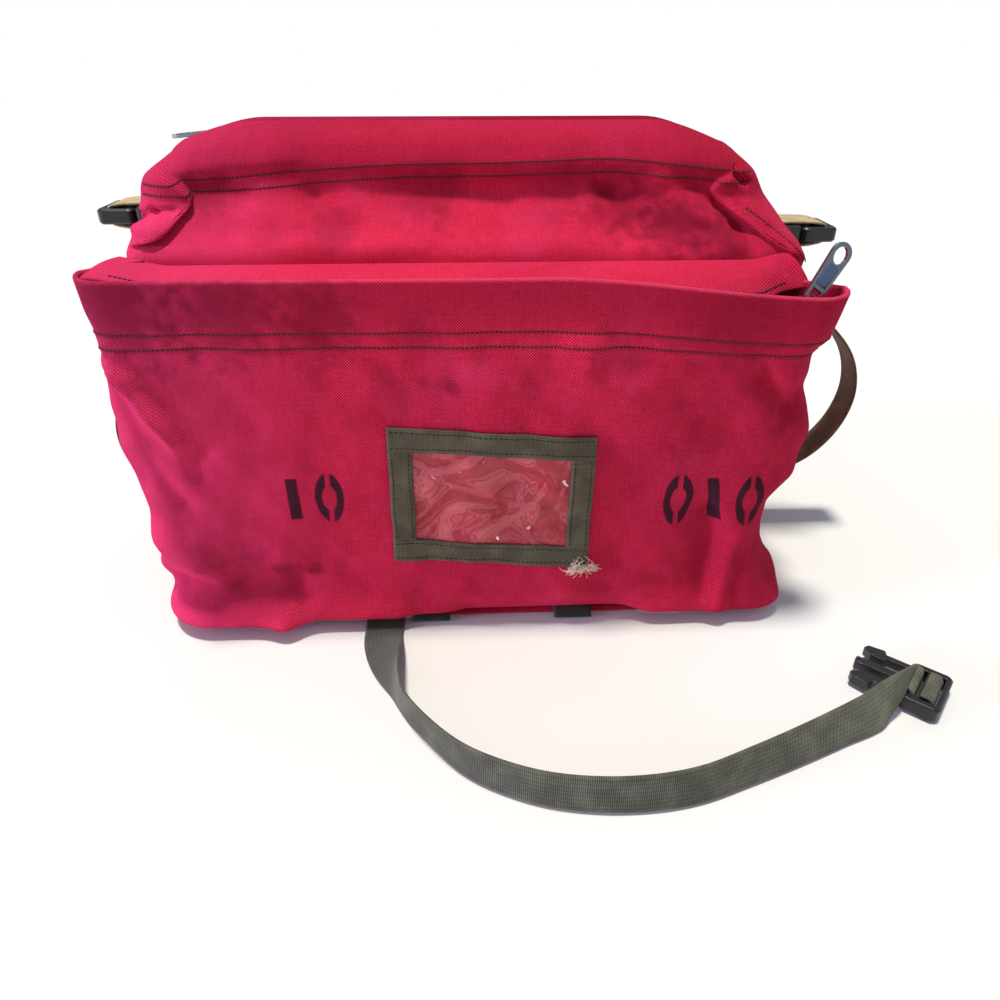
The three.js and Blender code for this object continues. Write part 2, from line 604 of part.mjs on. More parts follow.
/** Zip slider: a rounded plate with an arched bail; its top is at z = plate, and the bail stands on it. */
function sliderGeometry() {
  const { width, length, plate, corner } = ZIP_SLIDER;
  const { span, height, wire, sunk, inner } = ZIP_BAIL;
  const body = roundedRectangle(-width / 2, -length / 2, width / 2, length / 2, corner);
  const arch = roundedRectangle(-span / 2, plate - sunk, span / 2, plate + height + wire, ZIP_BAIL.corner);
  const opening = roundedRectangle(wire - span / 2, plate, span / 2 - wire, plate + height, inner);
  arch.holes.push(new THREE.Path(opening.getPoints(1).reverse()));
  const bail = raised(arch, -ZIP_BAIL.width / 2, ZIP_BAIL.width / 2, 0, 1);
  bail.rotateX(QUARTER).rotateZ(QUARTER);
  return geometryFrom(solidOf(raised(body, 0, plate)).add(solidOf(bail)));
}

/** Zip pull: a long tab with an eye round the bail at its foot, a round hole at its head and sunk faces. */
function pullGeometry() {
  const { length, base, head, thick, bar, eyeHalf, eyeEnd, recess, rim } = ZIP_PULL;
  const tab = new THREE.Shape();
  tab.moveTo(-base / 2, -bar);
  tab.lineTo(base / 2, -bar);
  tab.lineTo(head / 2, length - head / 2);
  tab.absarc(0, length - head / 2, head / 2, 0, 2 * QUARTER, false);
  tab.lineTo(-base / 2, -bar);
  const eye = roundedRectangle(-eyeHalf, bar, eyeHalf, eyeEnd, bar / 2);
  const hole = new THREE.Path();
  const { width, height, below } = PULL_HOLE;
  hole.absellipse(0, length - below, width / 2, height / 2, 0, 4 * QUARTER, true);
  tab.holes.push(new THREE.Path(eye.getPoints(1).reverse()), hole);
  let solid = solidOf(raised(tab, -thick / 2, thick / 2, 0, 6));
  const panelTop = length - below - height / 2 - rim;
  const panelHalf = base / 2 - rim;
  for (const side of [-1, 1]) {
    const face = (side * thick) / 2;
    const sunk = boxBetween(-panelHalf, eyeEnd + 2 * rim, face - recess, panelHalf, panelTop, face + recess);
    solid = solid.subtract(solidOf(sunk));
  }
  return geometryFrom(solid).rotateX(QUARTER);
}

/** Height of the zip tape's middle under the pocket's hem. */
function pocketZipZ(x) {
  return HEM_TOP - HEM_DROOP * pocketDroop(x) - ZIP_BELOW_HEM;
}

/** Height of the main zip tape's middle under the mouth's lips. */
function mainZipZ(x) {
  const rim = MAIN_SECTIONS[MAIN_SECTIONS.length - 1];
  return rim.z - rim.droop * mainDroop(x) - MAIN_ZIP.below - MAIN_ZIP.thick / 2;
}

/** Nearest outer face of the main wall's side to a place, as a distance out from the middle. */
function sideReach(side, y, z) {
  let best = Infinity;
  let reach = 0;
  for (let position = SEARCH.from; position <= SEARCH.to; position += SEARCH.step) {
    for (let row = 0; row <= SEARCH.rows; row += SEARCH.step) {
      const point = mainPoint(side * position, row);
      const away = Math.hypot(point.y - y, point.z - z);
      if (away < best) {
        best = away;
        reach = side * point.x;
      }
    }
  }
  return reach;
}

/** Place on the pocket's front face, and its normal, at a distance across and a height. */
function pocketFront(x, z) {
  const row = rowAt(POCKET_SECTIONS, 'z', z);
  const section = sectionAt(POCKET_SECTIONS, row);
  const flat = (x < 0 ? -section.left : section.right) - section.corner;
  const step = 0.02;
  const position = x / flat;
  const across = pocketPoint(position + step, row).sub(pocketPoint(position - step, row));
  const up = pocketPoint(position, row + step).sub(pocketPoint(position, row - step));
  return { at: pocketPoint(position, row), normal: across.cross(up).normalize() };
}

/** Patch laid on the pocket front, turned with the name window, between two distances off the face. */
function windowPatch(p0, q0, p1, q1, columns, rows, from, to) {
  const turn = WINDOW.turn * DEGREE;
  const lean = WINDOW.lean * DEGREE;
  const grid = (lift) => Array.from({ length: columns + 1 }, (_, i) => {
    return Array.from({ length: rows + 1 }, (__, j) => {
      const p = p0 + ((p1 - p0) * i) / columns;
      const q = q0 + ((q1 - q0) * j) / rows;
      const x = WINDOW.x + p * Math.cos(turn) - q * Math.sin(lean);
      const z = WINDOW.z + p * Math.sin(turn) + q * Math.cos(lean);
      const { at, normal } = pocketFront(x, z);
      return at.addScaledVector(normal, lift);
    });
  });
  return sheetGeometry(grid(to), grid(from));
}

/** Stations of a route in a buckle's frame, with the webbing's width along the buckle's width. */
function buckleStations(route, toPack, across) {
  return route.map(({ x, z }) => ({ at: new THREE.Vector3(x, 0, z).applyMatrix4(toPack), across }));
}

function buildBase() {
  const outline = roundedRectangle(BASE.left, BASE.front, BASE.right, BASE.back, BASE.corner);
  addPiece('base_panel', raised(outline, 0, BASE.thick), FINISH.canvas);
}

function buildPocketWall() {
  const { front, corner, side } = POCKET_RUNS;
  const right = [...stretch(0, 1, front), ...stretch(1, 2, corner), ...stretch(2, 3, side)];
  const positions = [...right.map((p) => -p).reverse(), 0, ...right];
  const rows = rowPositions(POCKET_SECTIONS);
  const grid = positions.map((position) => rows.map((row) => pocketPoint(position, row)));
  const hemFrom = HEM_TOP - HEM_DEPTH - HEM_DROOP;
  const thickness = (point) => CLOTH + (HEM_CLOTH - CLOTH) * ramp(hemFrom, hemFrom + HEM_DROOP, point.z);
  addPiece('pocket_wall', sheetGeometry(grid, innerGrid(grid, false, thickness)), FINISH.canvas);
}

function buildMainWall() {
  const { front, corner, seam, side, backCorner, back } = MAIN_RUNS;
  const frontRun = stretch(0, 1, front).map((t) => t ** MAIN_CROWDING.front);
  const backRun = stretch(0, 1, back).map((t) => 4 + t ** MAIN_CROWDING.back);
  const sides = [...stretch(1, 2, corner), ...stretch(2, 3, side), ...stretch(3, 4, backCorner)];
  const right = [...frontRun, ...sides, ...backRun];
  const left = right.slice(0, -1).map((p) => -p).reverse();
  const rows = rowPositions(MAIN_SECTIONS);
  const outer = [...left, 0, ...right].map((position) => rows.map((row) => mainPoint(position, row)));
  const { from, to } = MAIN_HEM;
  const thickness = (point) => CLOTH + (HEM_CLOTH - CLOTH) * ramp(from, to, point.z);
  const inner = innerGrid(outer, true, thickness);
  const middle = left.length;
  const reach = front + seam;
  const turn = front + corner + side + backCorner / 2;
  const panels = {
    main_wall: (grid) => grid.slice(middle - reach, middle + reach + 1),
    main_side_left: (grid) => grid.slice(middle - turn, middle - reach + 1),
    main_side_right: (grid) => grid.slice(middle + reach, middle + turn + 1),
    main_back: (grid) => [...grid.slice(middle + turn), ...grid.slice(0, middle - turn + 1)],
  };
  for (const [name, panel] of Object.entries(panels)) {
    addPiece(name, sheetGeometry(drawnIn(panel(outer)), drawnIn(panel(inner))), FINISH.canvas);
  }
}

function buildPocketMouth() {
  const { backZ, frontY, cutFrom, cutTo, cutY, crown, left: stripLeft, right: stripRight, seamHalf } = STRIP;
  const { columns, rows } = STRIP_GRID;
  const surface = (lift) => Array.from({ length: columns + 1 }, (_, i) => {
    return Array.from({ length: rows + 1 }, (__, j) => {
      const q = j / rows;
      const x0 = stripLeft + (-seamHalf - stripLeft) * q;
      const x1 = stripRight + (seamHalf - stripRight) * q;
      const x = x0 + ((x1 - x0) * i) / columns;
      const edge = frontY + (cutY - frontY) * ramp(cutFrom, cutTo, x);
      const frontZ = pocketZipZ(x) + STRIP_ABOVE_TAPE;
      const z = frontZ + (backZ - frontZ) * q + crown * Math.sin(Math.PI * q);
      return new THREE.Vector3(x, edge + (SEAM_Y - edge) * q, z + lift);
    });
  });
  addPiece('pocket_strip', sheetGeometry(surface(CLOTH / 2), surface(-CLOTH / 2)), FINISH.canvas);

  const { width, thick, y, left, corner, turn, right } = ZIP_TAPE;
  const spans = stretch(left, corner, ZIP_TAPE.spans);
  const plan = [left, ...spans].map((x) => ({ x, y, heading: 0 }));
  for (const heading of stretch(0, QUARTER, ZIP_TAPE.arcs)) {
    const x = corner + (right - corner) * Math.sin(heading);
    plan.push({ x, y: y + turn * (1 - Math.cos(heading)), heading });
  }
  const stations = plan.map((place) => ({
    at: new THREE.Vector3(place.x, place.y, pocketZipZ(place.x)),
    across: new THREE.Vector3(-Math.sin(place.heading), Math.cos(place.heading), 0),
  }));
  addPiece('pocket_zip_tape', webbingGeometry(stations, width, thick, ZIP_TAPE.steps), FINISH.zipTape);

  const seat = new THREE.Group();
  const lean = POCKET_PULL.lean * DEGREE;
  const tapeTop = pocketZipZ(POCKET_PULL.x) + thick / 2;
  const seatZ = tapeTop + 2 * GAP + (ZIP_SLIDER.width / 2) * Math.sin(lean);
  seat.position.set(POCKET_PULL.x, POCKET_PULL.y, seatZ);
  seat.rotation.y = lean;
  pack.add(seat);
  addPiece('pocket_zip_slider', sliderGeometry(), FINISH.steel, seat);
  const hinge = new THREE.Group();
  hinge.position.z = ZIP_SLIDER.plate + ZIP_BAIL.height / 2;
  hinge.rotation.x = -POCKET_PULL.back * DEGREE;
  seat.add(hinge);
  addPiece('pocket_zip_pull', pullGeometry(), FINISH.steel, hinge);
}

function buildMainZip() {
  const { left, right, width, thick } = MAIN_ZIP;
  const stations = [left, ...stretch(left, right, MAIN_ZIP.spans)].map((x) => {
    return { at: new THREE.Vector3(x, MAIN_PULL.y, mainZipZ(x)), across: new THREE.Vector3(0, 1, 0) };
  });
  addPiece('main_zip_tape', webbingGeometry(stations, width, thick, MAIN_ZIP.steps), FINISH.zipTape);

  const reach = ZIP_SLIDER.length / 2;
  const slope = Math.atan2(mainZipZ(MAIN_PULL.x + reach) - mainZipZ(MAIN_PULL.x - reach), 2 * reach);
  const seat = new THREE.Group();
  seat.position.set(MAIN_PULL.x, MAIN_PULL.y, mainZipZ(MAIN_PULL.x) + thick + 2 * GAP);
  pack.add(seat);
  const body = new THREE.Group();
  body.rotation.set(0, -slope, QUARTER, 'YXZ');
  seat.add(body);
  addPiece('main_zip_slider', sliderGeometry(), FINISH.steel, body);
  const hinge = new THREE.Group();
  const rise = ZIP_SLIDER.plate + ZIP_BAIL.height / 2;
  hinge.position.set(-rise * Math.sin(slope), 0, rise * Math.cos(slope));
  hinge.rotation.set(0, MAIN_PULL.rise * DEGREE - QUARTER, QUARTER, 'YXZ');
  seat.add(hinge);
  addPiece('main_zip_pull', pullGeometry(), FINISH.steel, hinge);
}

function buildNameWindow() {
  const { width, height, tape, margin } = WINDOW;
  const p = width / 2;
  const q = height / 2;
  const sheet = windowPatch(margin - p, margin - q, p - margin, q - margin, 6, 5, GAP, GAP + VINYL_THICK);
  addPiece('window_sheet', sheet, FINISH.vinyl);
  const from = 2 * GAP + VINYL_THICK;
  const to = from + TAPE_THICK;
  const tapes = {
    window_tape_top: [-p, q - tape, p, q, 8, 1],
    window_tape_bottom: [-p, -q, p, tape - q, 8, 1],
    window_tape_left: [-p, tape - q + GAP, tape - p, q - tape - GAP, 1, 5],
    window_tape_right: [p - tape, tape - q + GAP, p, q - tape - GAP, 1, 5],
  };
  for (const [name, patch] of Object.entries(tapes)) {
    addPiece(name, windowPatch(...patch, from, to), FINISH.tape);
  }
}

function buildSide(name, { side, x, y, z }) {
  const buckle = new THREE.Group();
  buckle.position.set(x, y, z);
  buckle.rotation.z = side > 0 ? 0 : 2 * QUARTER;
  buckle.updateMatrix();
  pack.add(buckle);
  addPiece(`side_buckle_toothed_${name}`, toothedHalf(), FINISH.plastic, buckle);
  addPiece(`side_buckle_sleeve_${name}`, sleeveHalf(), FINISH.plastic, buckle);

  const across = new THREE.Vector3(0, 1, 0);
  const tabZ = z + SIDE_TAB_ROUTE[0].z;
  const reaches = [-1, 0, 1].map((k) => sideReach(side, y + (k * WEB_WIDTH) / 2, tabZ));
  const start = Math.max(...reaches) + TAB_CLEAR;
  const tab = buckleStations(SIDE_TAB_ROUTE, buckle.matrix, across);
  tab.unshift({ at: new THREE.Vector3(side * start, y, tabZ), across });
  addPiece(`side_tab_${name}`, webbingGeometry(tab, WEB_WIDTH, WEB_THICK, STEPS.tab), FINISH.tanWebbing);

  const slotX = (SLEEVE.slot[0] + SLEEVE.slot[1]) / 2;
  const throughSlot = STRAP_START.map((place) => ({ x: slotX + place.x, z: place.z }));
  const strap = buckleStations(throughSlot, buckle.matrix, across);
  for (const { out, z: height } of SIDE_STRAPS[name]) {
    strap.push({ at: new THREE.Vector3(side * out, y, height), across });
  }
  for (const { z: height, off } of STRAP_SEWN) {
    const out = sideReach(side, y, height) + off + WEB_THICK / 2;
    strap.push({ at: new THREE.Vector3(side * out, y, height), across });
  }
  const slack = webbingGeometry(strap, WEB_WIDTH, WEB_THICK, STEPS.strap);
  addPiece(`side_strap_${name}`, slack, FINISH.brownWebbing);
}

function buildBelt() {
  const buckle = new THREE.Group();
  buckle.position.set(BELT_BUCKLE.x, BELT_BUCKLE.y, BELT_BUCKLE.z);
  buckle.rotation.z = BELT_BUCKLE.turn * DEGREE;
  buckle.updateMatrix();
  pack.add(buckle);
  addPiece('belt_buckle_toothed', toothedHalf(), FINISH.plastic, buckle);

  const flat = new THREE.Vector3(1, 0, 0);
  const sewnZ = BASE.thick + GAP + WEB_THICK / 2;
  const floorZ = GAP + WEB_THICK / 2;
  const stations = [
    { at: new THREE.Vector3(BELT_SEWN.x, BELT_SEWN.inY, sewnZ), across: flat },
    { at: new THREE.Vector3(BELT_SEWN.x, BELT_SEWN.edgeY, sewnZ), across: flat },
    { at: new THREE.Vector3(BELT_SEWN.x, BELT_SEWN.floorY, floorZ), across: flat },
  ];
  BELT_ROUTE.forEach(({ x, y, tilt }, k) => {
    const before = BELT_ROUTE[Math.max(0, k - 1)];
    const after = BELT_ROUTE[Math.min(BELT_ROUTE.length - 1, k + 1)];
    const heading = Math.atan2(after.y - before.y, after.x - before.x);
    const lean = tilt * DEGREE;
    const level = Math.cos(lean);
    const rise = Math.sin(lean);
    const across = new THREE.Vector3(-Math.sin(heading) * level, Math.cos(heading) * level, rise);
    stations.push({ at: new THREE.Vector3(x, y, floorZ + (rise * WEB_WIDTH) / 2), across });
  });
  for (const { x, y, z, ax, ay, az } of BELT_TURN) {
    stations.push({ at: new THREE.Vector3(x, y, z), across: new THREE.Vector3(ax, ay, az) });
  }
  const up = new THREE.Vector3(0, 0, 1);
  const buckleAcross = new THREE.Vector3(0, 1, 0).applyAxisAngle(up, buckle.rotation.z);
  stations.push(...buckleStations(BELT_LOOP, buckle.matrix, buckleAcross));
  addPiece('belt_strap', webbingGeometry(stations, WEB_WIDTH, WEB_THICK, STEPS.belt), FINISH.webbing);
}

function buildLashTabs() {
  const across = new THREE.Vector3(1, 0, 0);
  const sewnZ = BASE.thick + GAP + WEB_THICK / 2;
  for (const { name, x } of LASH_TABS) {
    const stations = [
      { at: new THREE.Vector3(x, LASH_TAB.inY, sewnZ), across },
      { at: new THREE.Vector3(x, LASH_TAB.edgeY, sewnZ), across },
      { at: new THREE.Vector3(x, LASH_TAB.outY, GAP + WEB_THICK / 2), across },
    ];
    addPiece(name, webbingGeometry(stations, WEB_WIDTH, WEB_THICK, STEPS.lash), FINISH.webbing);
  }
}

buildBase();
buildMainWall();
buildMainZip();
buildPocketWall();
buildPocketMouth();
buildNameWindow();
for (const [name, place] of Object.entries(SIDE_BUCKLES)) buildSide(name, place);
buildBelt();
buildLashTabs();

export default pack;
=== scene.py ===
"""Looks of a crimson canvas pack: cloth, webbing, thread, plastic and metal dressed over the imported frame.

Lengths in the tables are millimetres and meshes are made in metres. +Z is up and the front faces -Y.
"""

import logging
from collections.abc import Callable
from dataclasses import dataclass
from enum import Enum

import bpy
import numpy as np
from mathutils import Matrix, Vector


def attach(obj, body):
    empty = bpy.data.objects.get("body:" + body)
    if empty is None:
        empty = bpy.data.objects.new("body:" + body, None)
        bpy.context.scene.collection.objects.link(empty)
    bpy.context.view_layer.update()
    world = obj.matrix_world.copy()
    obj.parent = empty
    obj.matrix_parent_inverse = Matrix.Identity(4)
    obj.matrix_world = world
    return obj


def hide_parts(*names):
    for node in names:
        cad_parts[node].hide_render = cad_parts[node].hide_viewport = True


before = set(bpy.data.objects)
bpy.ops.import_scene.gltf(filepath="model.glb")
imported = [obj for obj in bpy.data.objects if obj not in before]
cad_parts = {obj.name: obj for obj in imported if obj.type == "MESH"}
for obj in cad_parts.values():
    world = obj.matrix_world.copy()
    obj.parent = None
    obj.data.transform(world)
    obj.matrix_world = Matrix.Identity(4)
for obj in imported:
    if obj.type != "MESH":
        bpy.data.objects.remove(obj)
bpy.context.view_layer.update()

Array = np.ndarray
Colour = tuple[float, float, float, float]
Span = tuple[float, float]
Place = tuple[float, float, float]
LOG = logging.getLogger("pack")
MM = 0.001
TO_MM = 1 / MM
QUARTER = np.pi / 2
GAP = 0.3
WEB_WIDTH = 25.0
WEB_THICK = 1.6
BASE_THICK = 2.0
RIGHTWARD = (1.0, 0.0, 0.0)
BACKWARD = (0.0, 1.0, 0.0)
UV_MAP = "cloth"
FULL = 255
DISPLAY_KNEE = 0.04045
DISPLAY_SLOPE = 12.92
DISPLAY_OFFSET = 0.055
DISPLAY_POWER = 2.4
TINY = 1e-9
NEAR = 1e-4
LEAST_SPANS = 4


class Body(Enum):
    """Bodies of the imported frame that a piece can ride."""

    BAG = "bag"
    POCKET_PULL = "pocket_pull"
    MAIN_PULL = "main_pull"


class Side(Enum):
    """The two sides of the pack, as a sign along X."""

    LEFT = -1
    RIGHT = 1


def display(red: int, green: int, blue: int) -> Colour:
    """Turns an 8-bit display colour into a linear one.

    Args:
        red: Red, 0 to 255.
        green: Green, 0 to 255.
        blue: Blue, 0 to 255.

    Returns:
        The linear colour with full alpha.
    """
    values = np.array([red, green, blue]) / FULL
    curve = ((values + DISPLAY_OFFSET) / (1 + DISPLAY_OFFSET)) ** DISPLAY_POWER
    linear = np.where(values <= DISPLAY_KNEE, values / DISPLAY_SLOPE, curve)
    return (float(linear[0]), float(linear[1]), float(linear[2]), 1.0)


def ramp(low: float, high: float, value: Array) -> Array:
    """Rises smoothly from 0 at low to 1 at high, as three times the square less twice the cube."""
    t = np.clip((np.asarray(value, float) - low) / (high - low), 0, 1)
    return t * t * (3 - 2 * t)


def unit(vectors: Array) -> Array:
    """Scales vectors to length one."""
    return vectors / np.maximum(np.linalg.norm(vectors, axis=-1, keepdims=True), TINY)


def walk(line: Array) -> Array:
    """Adds up the distances from point to point."""
    return np.concatenate([[0], np.cumsum(np.linalg.norm(np.diff(line, axis=0), axis=1))])


def follow(places: Array, walked: Array, line: Array) -> Array:
    """Reads a line at distances along it."""
    return np.stack([np.interp(places, walked, column) for column in line.T], -1)


@dataclass(frozen=True)
class Table:
    """Rows of named columns, read between the rows on a cubic that never overshoots them."""

    names: tuple[str, ...]
    rows: tuple[tuple[float, ...], ...]
    dense: int = 2000

    def read(self, name: str, t: Array) -> Array:
        """Reads a column between rows; slopes are harmonic means, and level at every turn.

        Args:
            name: Column name.
            t: Row positions.

        Returns:
            The column at each position.
        """
        values = np.array([row[self.names.index(name)] for row in self.rows])
        step = np.diff(values)
        product = step[:-1] * step[1:]
        total = np.where(product > 0, step[:-1] + step[1:], 1.0)
        inner = np.where(product > 0, 2 * product / total, 0.0)
        slope = np.concatenate([step[:1], inner, step[-1:]])
        t = np.asarray(t, float)
        i = np.clip(np.floor(t).astype(int), 0, len(values) - 2)
        u = t - i
        bend = 3 * step[i] - 2 * slope[i] - slope[i + 1]
        twist = slope[i] + slope[i + 1] - 2 * step[i]
        return values[i] + u * (slope[i] + u * (bend + u * twist))

    def section(self, t: Array) -> dict[str, Array]:
        """Reads all columns at row positions."""
        return {name: self.read(name, t) for name in self.names}

    def row_at(self, name: str, value: Array) -> Array:
        """Finds the row positions of a rising column's values."""
        t = np.linspace(0, len(self.rows) - 1, self.dense)
        return np.interp(value, self.read(name, t), t)


@dataclass(frozen=True)
class Fold:
    """A ridge or dent along a line on a wall, with a bell-shaped section."""

    s0: float
    z0: float
    s1: float
    z1: float
    width: float
    push: float
    power: float = 2.0

    def at(self, s: Array, z: Array) -> Array:
        """Gives the push, which falls off as e to minus the distance over the width, to the power.

        Args:
            s: Distances along the wall.
            z: Heights on the wall.

        Returns:
            The push at each place.
        """
        ds = self.s1 - self.s0
        dz = self.z1 - self.z0
        along = ((s - self.s0) * ds + (z - self.z0) * dz) / (ds * ds + dz * dz)
        t = np.clip(along, 0, 1)
        away = np.hypot(s - self.s0 - t * ds, z - self.z0 - t * dz) / self.width
        return self.push * np.exp(-(away**self.power))


@dataclass(frozen=True)
class Ripple:
    """One slanted wave of the small undulation of slack cloth."""

    length: float
    turn: float
    phase: float
    height: float
    slower: float = 0.43

    def at(self, s: Array, z: Array) -> Array:
        """Gives the wave, a sine along its turned direction times a slower sine across it.

        Args:
            s: Distances along the wall.
            z: Heights on the wall.

        Returns:
            The push at each place.
        """
        angle = np.radians(self.turn)
        along = s * np.cos(angle) + z * np.sin(angle)
        across = z * np.cos(angle) - s * np.sin(angle)
        wave = 2 * np.pi / self.length
        slow = np.sin(self.slower * wave * across + 2 * self.phase)
        return self.height * np.sin(wave * along + self.phase) * slow


CRUMPLE = (
    Ripple(62, 24, 0.7, 0.7),
    Ripple(41, -38, 2.1, 0.5),
    Ripple(27, 71, 4.0, 0.3),
    Ripple(18, 8, 1.3, 0.16),
)


def total(parts: tuple[Fold, ...] | tuple[Ripple, ...], s: Array, z: Array) -> Array:
    """Adds up the pushes of several folds or ripples."""
    return np.sum([part.at(s, z) for part in parts], axis=0)


@dataclass(frozen=True)
class Plan:
    """Places on a wall's plan outline with their outward directions and distances along it."""

    x: Array
    y: Array
    nx: Array
    ny: Array
    s: Array


SEAM_Y = -50 - GAP
SEAM_HALF = 181.0


def plan_outline(section: dict[str, Array], position: Array) -> Plan:
    """Walks a plan outline: front from its middle, corner arc, side, back corner arc and back, one run each.

    Args:
        section: Columns of the wall's table; without a back the side ends at the pocket's seam.
        position: Run positions, negative on the left half.

    Returns:
        The outline at each position.
    """
    side = np.where(position < 0, -1.0, 1.0)
    run = np.abs(position)
    half = np.where(side < 0, -section["left"], section["right"])
    front, corner = section["front"], section["corner"]
    seamed = "back" not in section
    back_corner = 0.0 * corner if seamed else section["back_corner"]
    back = SEAM_Y + 0.0 * corner if seamed else section["back"]
    end_x = SEAM_HALF + 0.0 * half if seamed else half
    end_y = back - back_corner
    flat = half - corner
    start = front + corner
    turn = np.clip(run - 1, 0, 1) * QUARTER
    slide = np.clip(run - 2, 0, 1)
    bend = np.clip(run - 3, 0, 1) * QUARTER
    rest = np.clip(run - 4, 0, 1)
    length = np.hypot(end_x - half, end_y - start)
    back_flat = half - back_corner
    back_start = flat + corner * QUARTER + length
    runs = [run <= 1, run <= 2, run <= 3, run <= 4]
    zero = 0.0 * half * run
    one = zero + 1.0
    x = np.select(
        runs,
        [flat * run, flat + corner * np.sin(turn), half + slide * (end_x - half),
         back_flat + back_corner * np.cos(bend)],
        back_flat * (1 - rest),
    )
    y = np.select(
        runs,
        [front + zero, front + corner * (1 - np.cos(turn)), start + slide * (end_y - start),
         end_y + back_corner * np.sin(bend)],
        back + zero,
    )
    nx = np.select(runs, [zero, np.sin(turn) + zero, one, np.cos(bend) + zero], zero)
    ny = np.select(runs, [-one, -np.cos(turn) + zero, zero, np.sin(bend) + zero], one)
    s = np.select(
        runs,
        [flat * run, flat + corner * turn, flat + corner * QUARTER + slide * length,
         back_start + back_corner * bend],
        back_start + back_corner * QUARTER + rest * back_flat,
    )
    return Plan(side * x, y, side * nx, ny, side * s)


def run_places(runs: tuple[int, ...]) -> Array:
    """Spaces run positions evenly within each run, and mirrors them to the left half."""
    right = np.concatenate([np.linspace(k, k + 1, count + 1)[1:] for k, count in enumerate(runs)])
    return np.concatenate([-right[::-1], [0.0], right])


def grid_normals(points: Array, closed: bool) -> Array:
    """Finds unit normals of a grid from its neighbours: first direction crossed with the second.

    Args:
        points: Grid of points.
        closed: Whether the first direction closes on itself.

    Returns:
        Unit normals on the grid.
    """
    if closed:
        across = np.roll(points, -1, 0) - np.roll(points, 1, 0)
    else:
        across = np.gradient(points, axis=0)
    return unit(np.cross(across, np.gradient(points, axis=1)))


def mesh_object(name: str, points: Array, quads: Array, uv: Array | None = None) -> bpy.types.Object:
    """Makes a smooth mesh object from points and quads, turned so that its faces look outward.

    Args:
        name: Object name.
        points: Points, one per row, in metres.
        quads: Four point numbers per face.
        uv: Face corner coordinates, four per face, in metres.

    Returns:
        The object, linked to the scene at the origin.
    """
    a, b, c, d = (points[quads[:, k]] for k in range(4))
    volume = np.einsum("ij,ij->", a, np.cross(b, c)) + np.einsum("ij,ij->", a, np.cross(c, d))
    if volume < 0:
        quads = quads[:, ::-1]
        uv = None if uv is None else uv[:, ::-1]
    mesh = bpy.data.meshes.new(name)
    mesh.vertices.add(len(points))
    mesh.vertices.foreach_set("co", points.astype(np.float32).ravel())
    mesh.loops.add(quads.size)
    mesh.loops.foreach_set("vertex_index", quads.astype(np.int32).ravel())
    mesh.polygons.add(len(quads))
    mesh.polygons.foreach_set("loop_start", np.arange(0, quads.size, 4, dtype=np.int32))
    mesh.update(calc_edges=True)
    mesh.polygons.foreach_set("use_smooth", np.ones(len(quads), bool))
    if uv is not None:
        layer = mesh.uv_layers.new(name=UV_MAP)
        layer.data.foreach_set("uv", uv.astype(np.float32).ravel())
    mesh.update()
    piece = bpy.data.objects.new(name, mesh)
    bpy.context.scene.collection.objects.link(piece)
    return piece


def skin_quads(columns: int, rows: int, wrap: bool) -> tuple[Array, Array, Array]:
    """Numbers the quads of a grid whose second direction always closes on itself.

    Args:
        columns: Points along the first direction.
        rows: Points round the second direction, an even number.
        wrap: Whether the first direction closes as well.

    Returns:
        Quads as point numbers, and the column and row of each quad corner in an unwrapped table.
    """
    spans = columns if wrap else columns - 1
    i, j = np.meshgrid(np.arange(spans), np.arange(rows), indexing="ij")
    corner_i = np.stack([i, i + 1, i + 1, i], -1).reshape(-1, 4)
    corner_j = np.stack([j, j, j + 1, j + 1], -1).reshape(-1, 4)
    if not wrap:
        k = np.arange(rows // 2 - 1)
        near = np.stack([k, k + 1, rows - 2 - k, rows - 1 - k], -1)
        ends = np.concatenate([near, near[:, ::-1]])
        flags = np.repeat([0, columns - 1], len(k))[:, None] + np.zeros((1, 4), int)
        corner_i = np.concatenate([corner_i, flags])
        corner_j = np.concatenate([corner_j, ends])
    quads = (corner_i % columns) * rows + corner_j % rows
    return quads, corner_i, corner_j


def skin(name: str, points: Array, uv: Array, wrap: bool) -> bpy.types.Object:
    """Makes a closed skin from a grid whose second direction runs round the section.

    Args:
        name: Object name.
        points: Grid of points in millimetres.
        uv: Coordinates in millimetres, one row more than the grid, and one column more if wrapped.
        wrap: Whether the first direction closes on itself.

    Returns:
        The object.
    """
    columns, rows = points.shape[:2]
    quads, corner_i, corner_j = skin_quads(columns, rows, wrap)
    corners = uv[corner_i, corner_j] * MM
    return mesh_object(name, points.reshape(-1, 3) * MM, quads, corners)


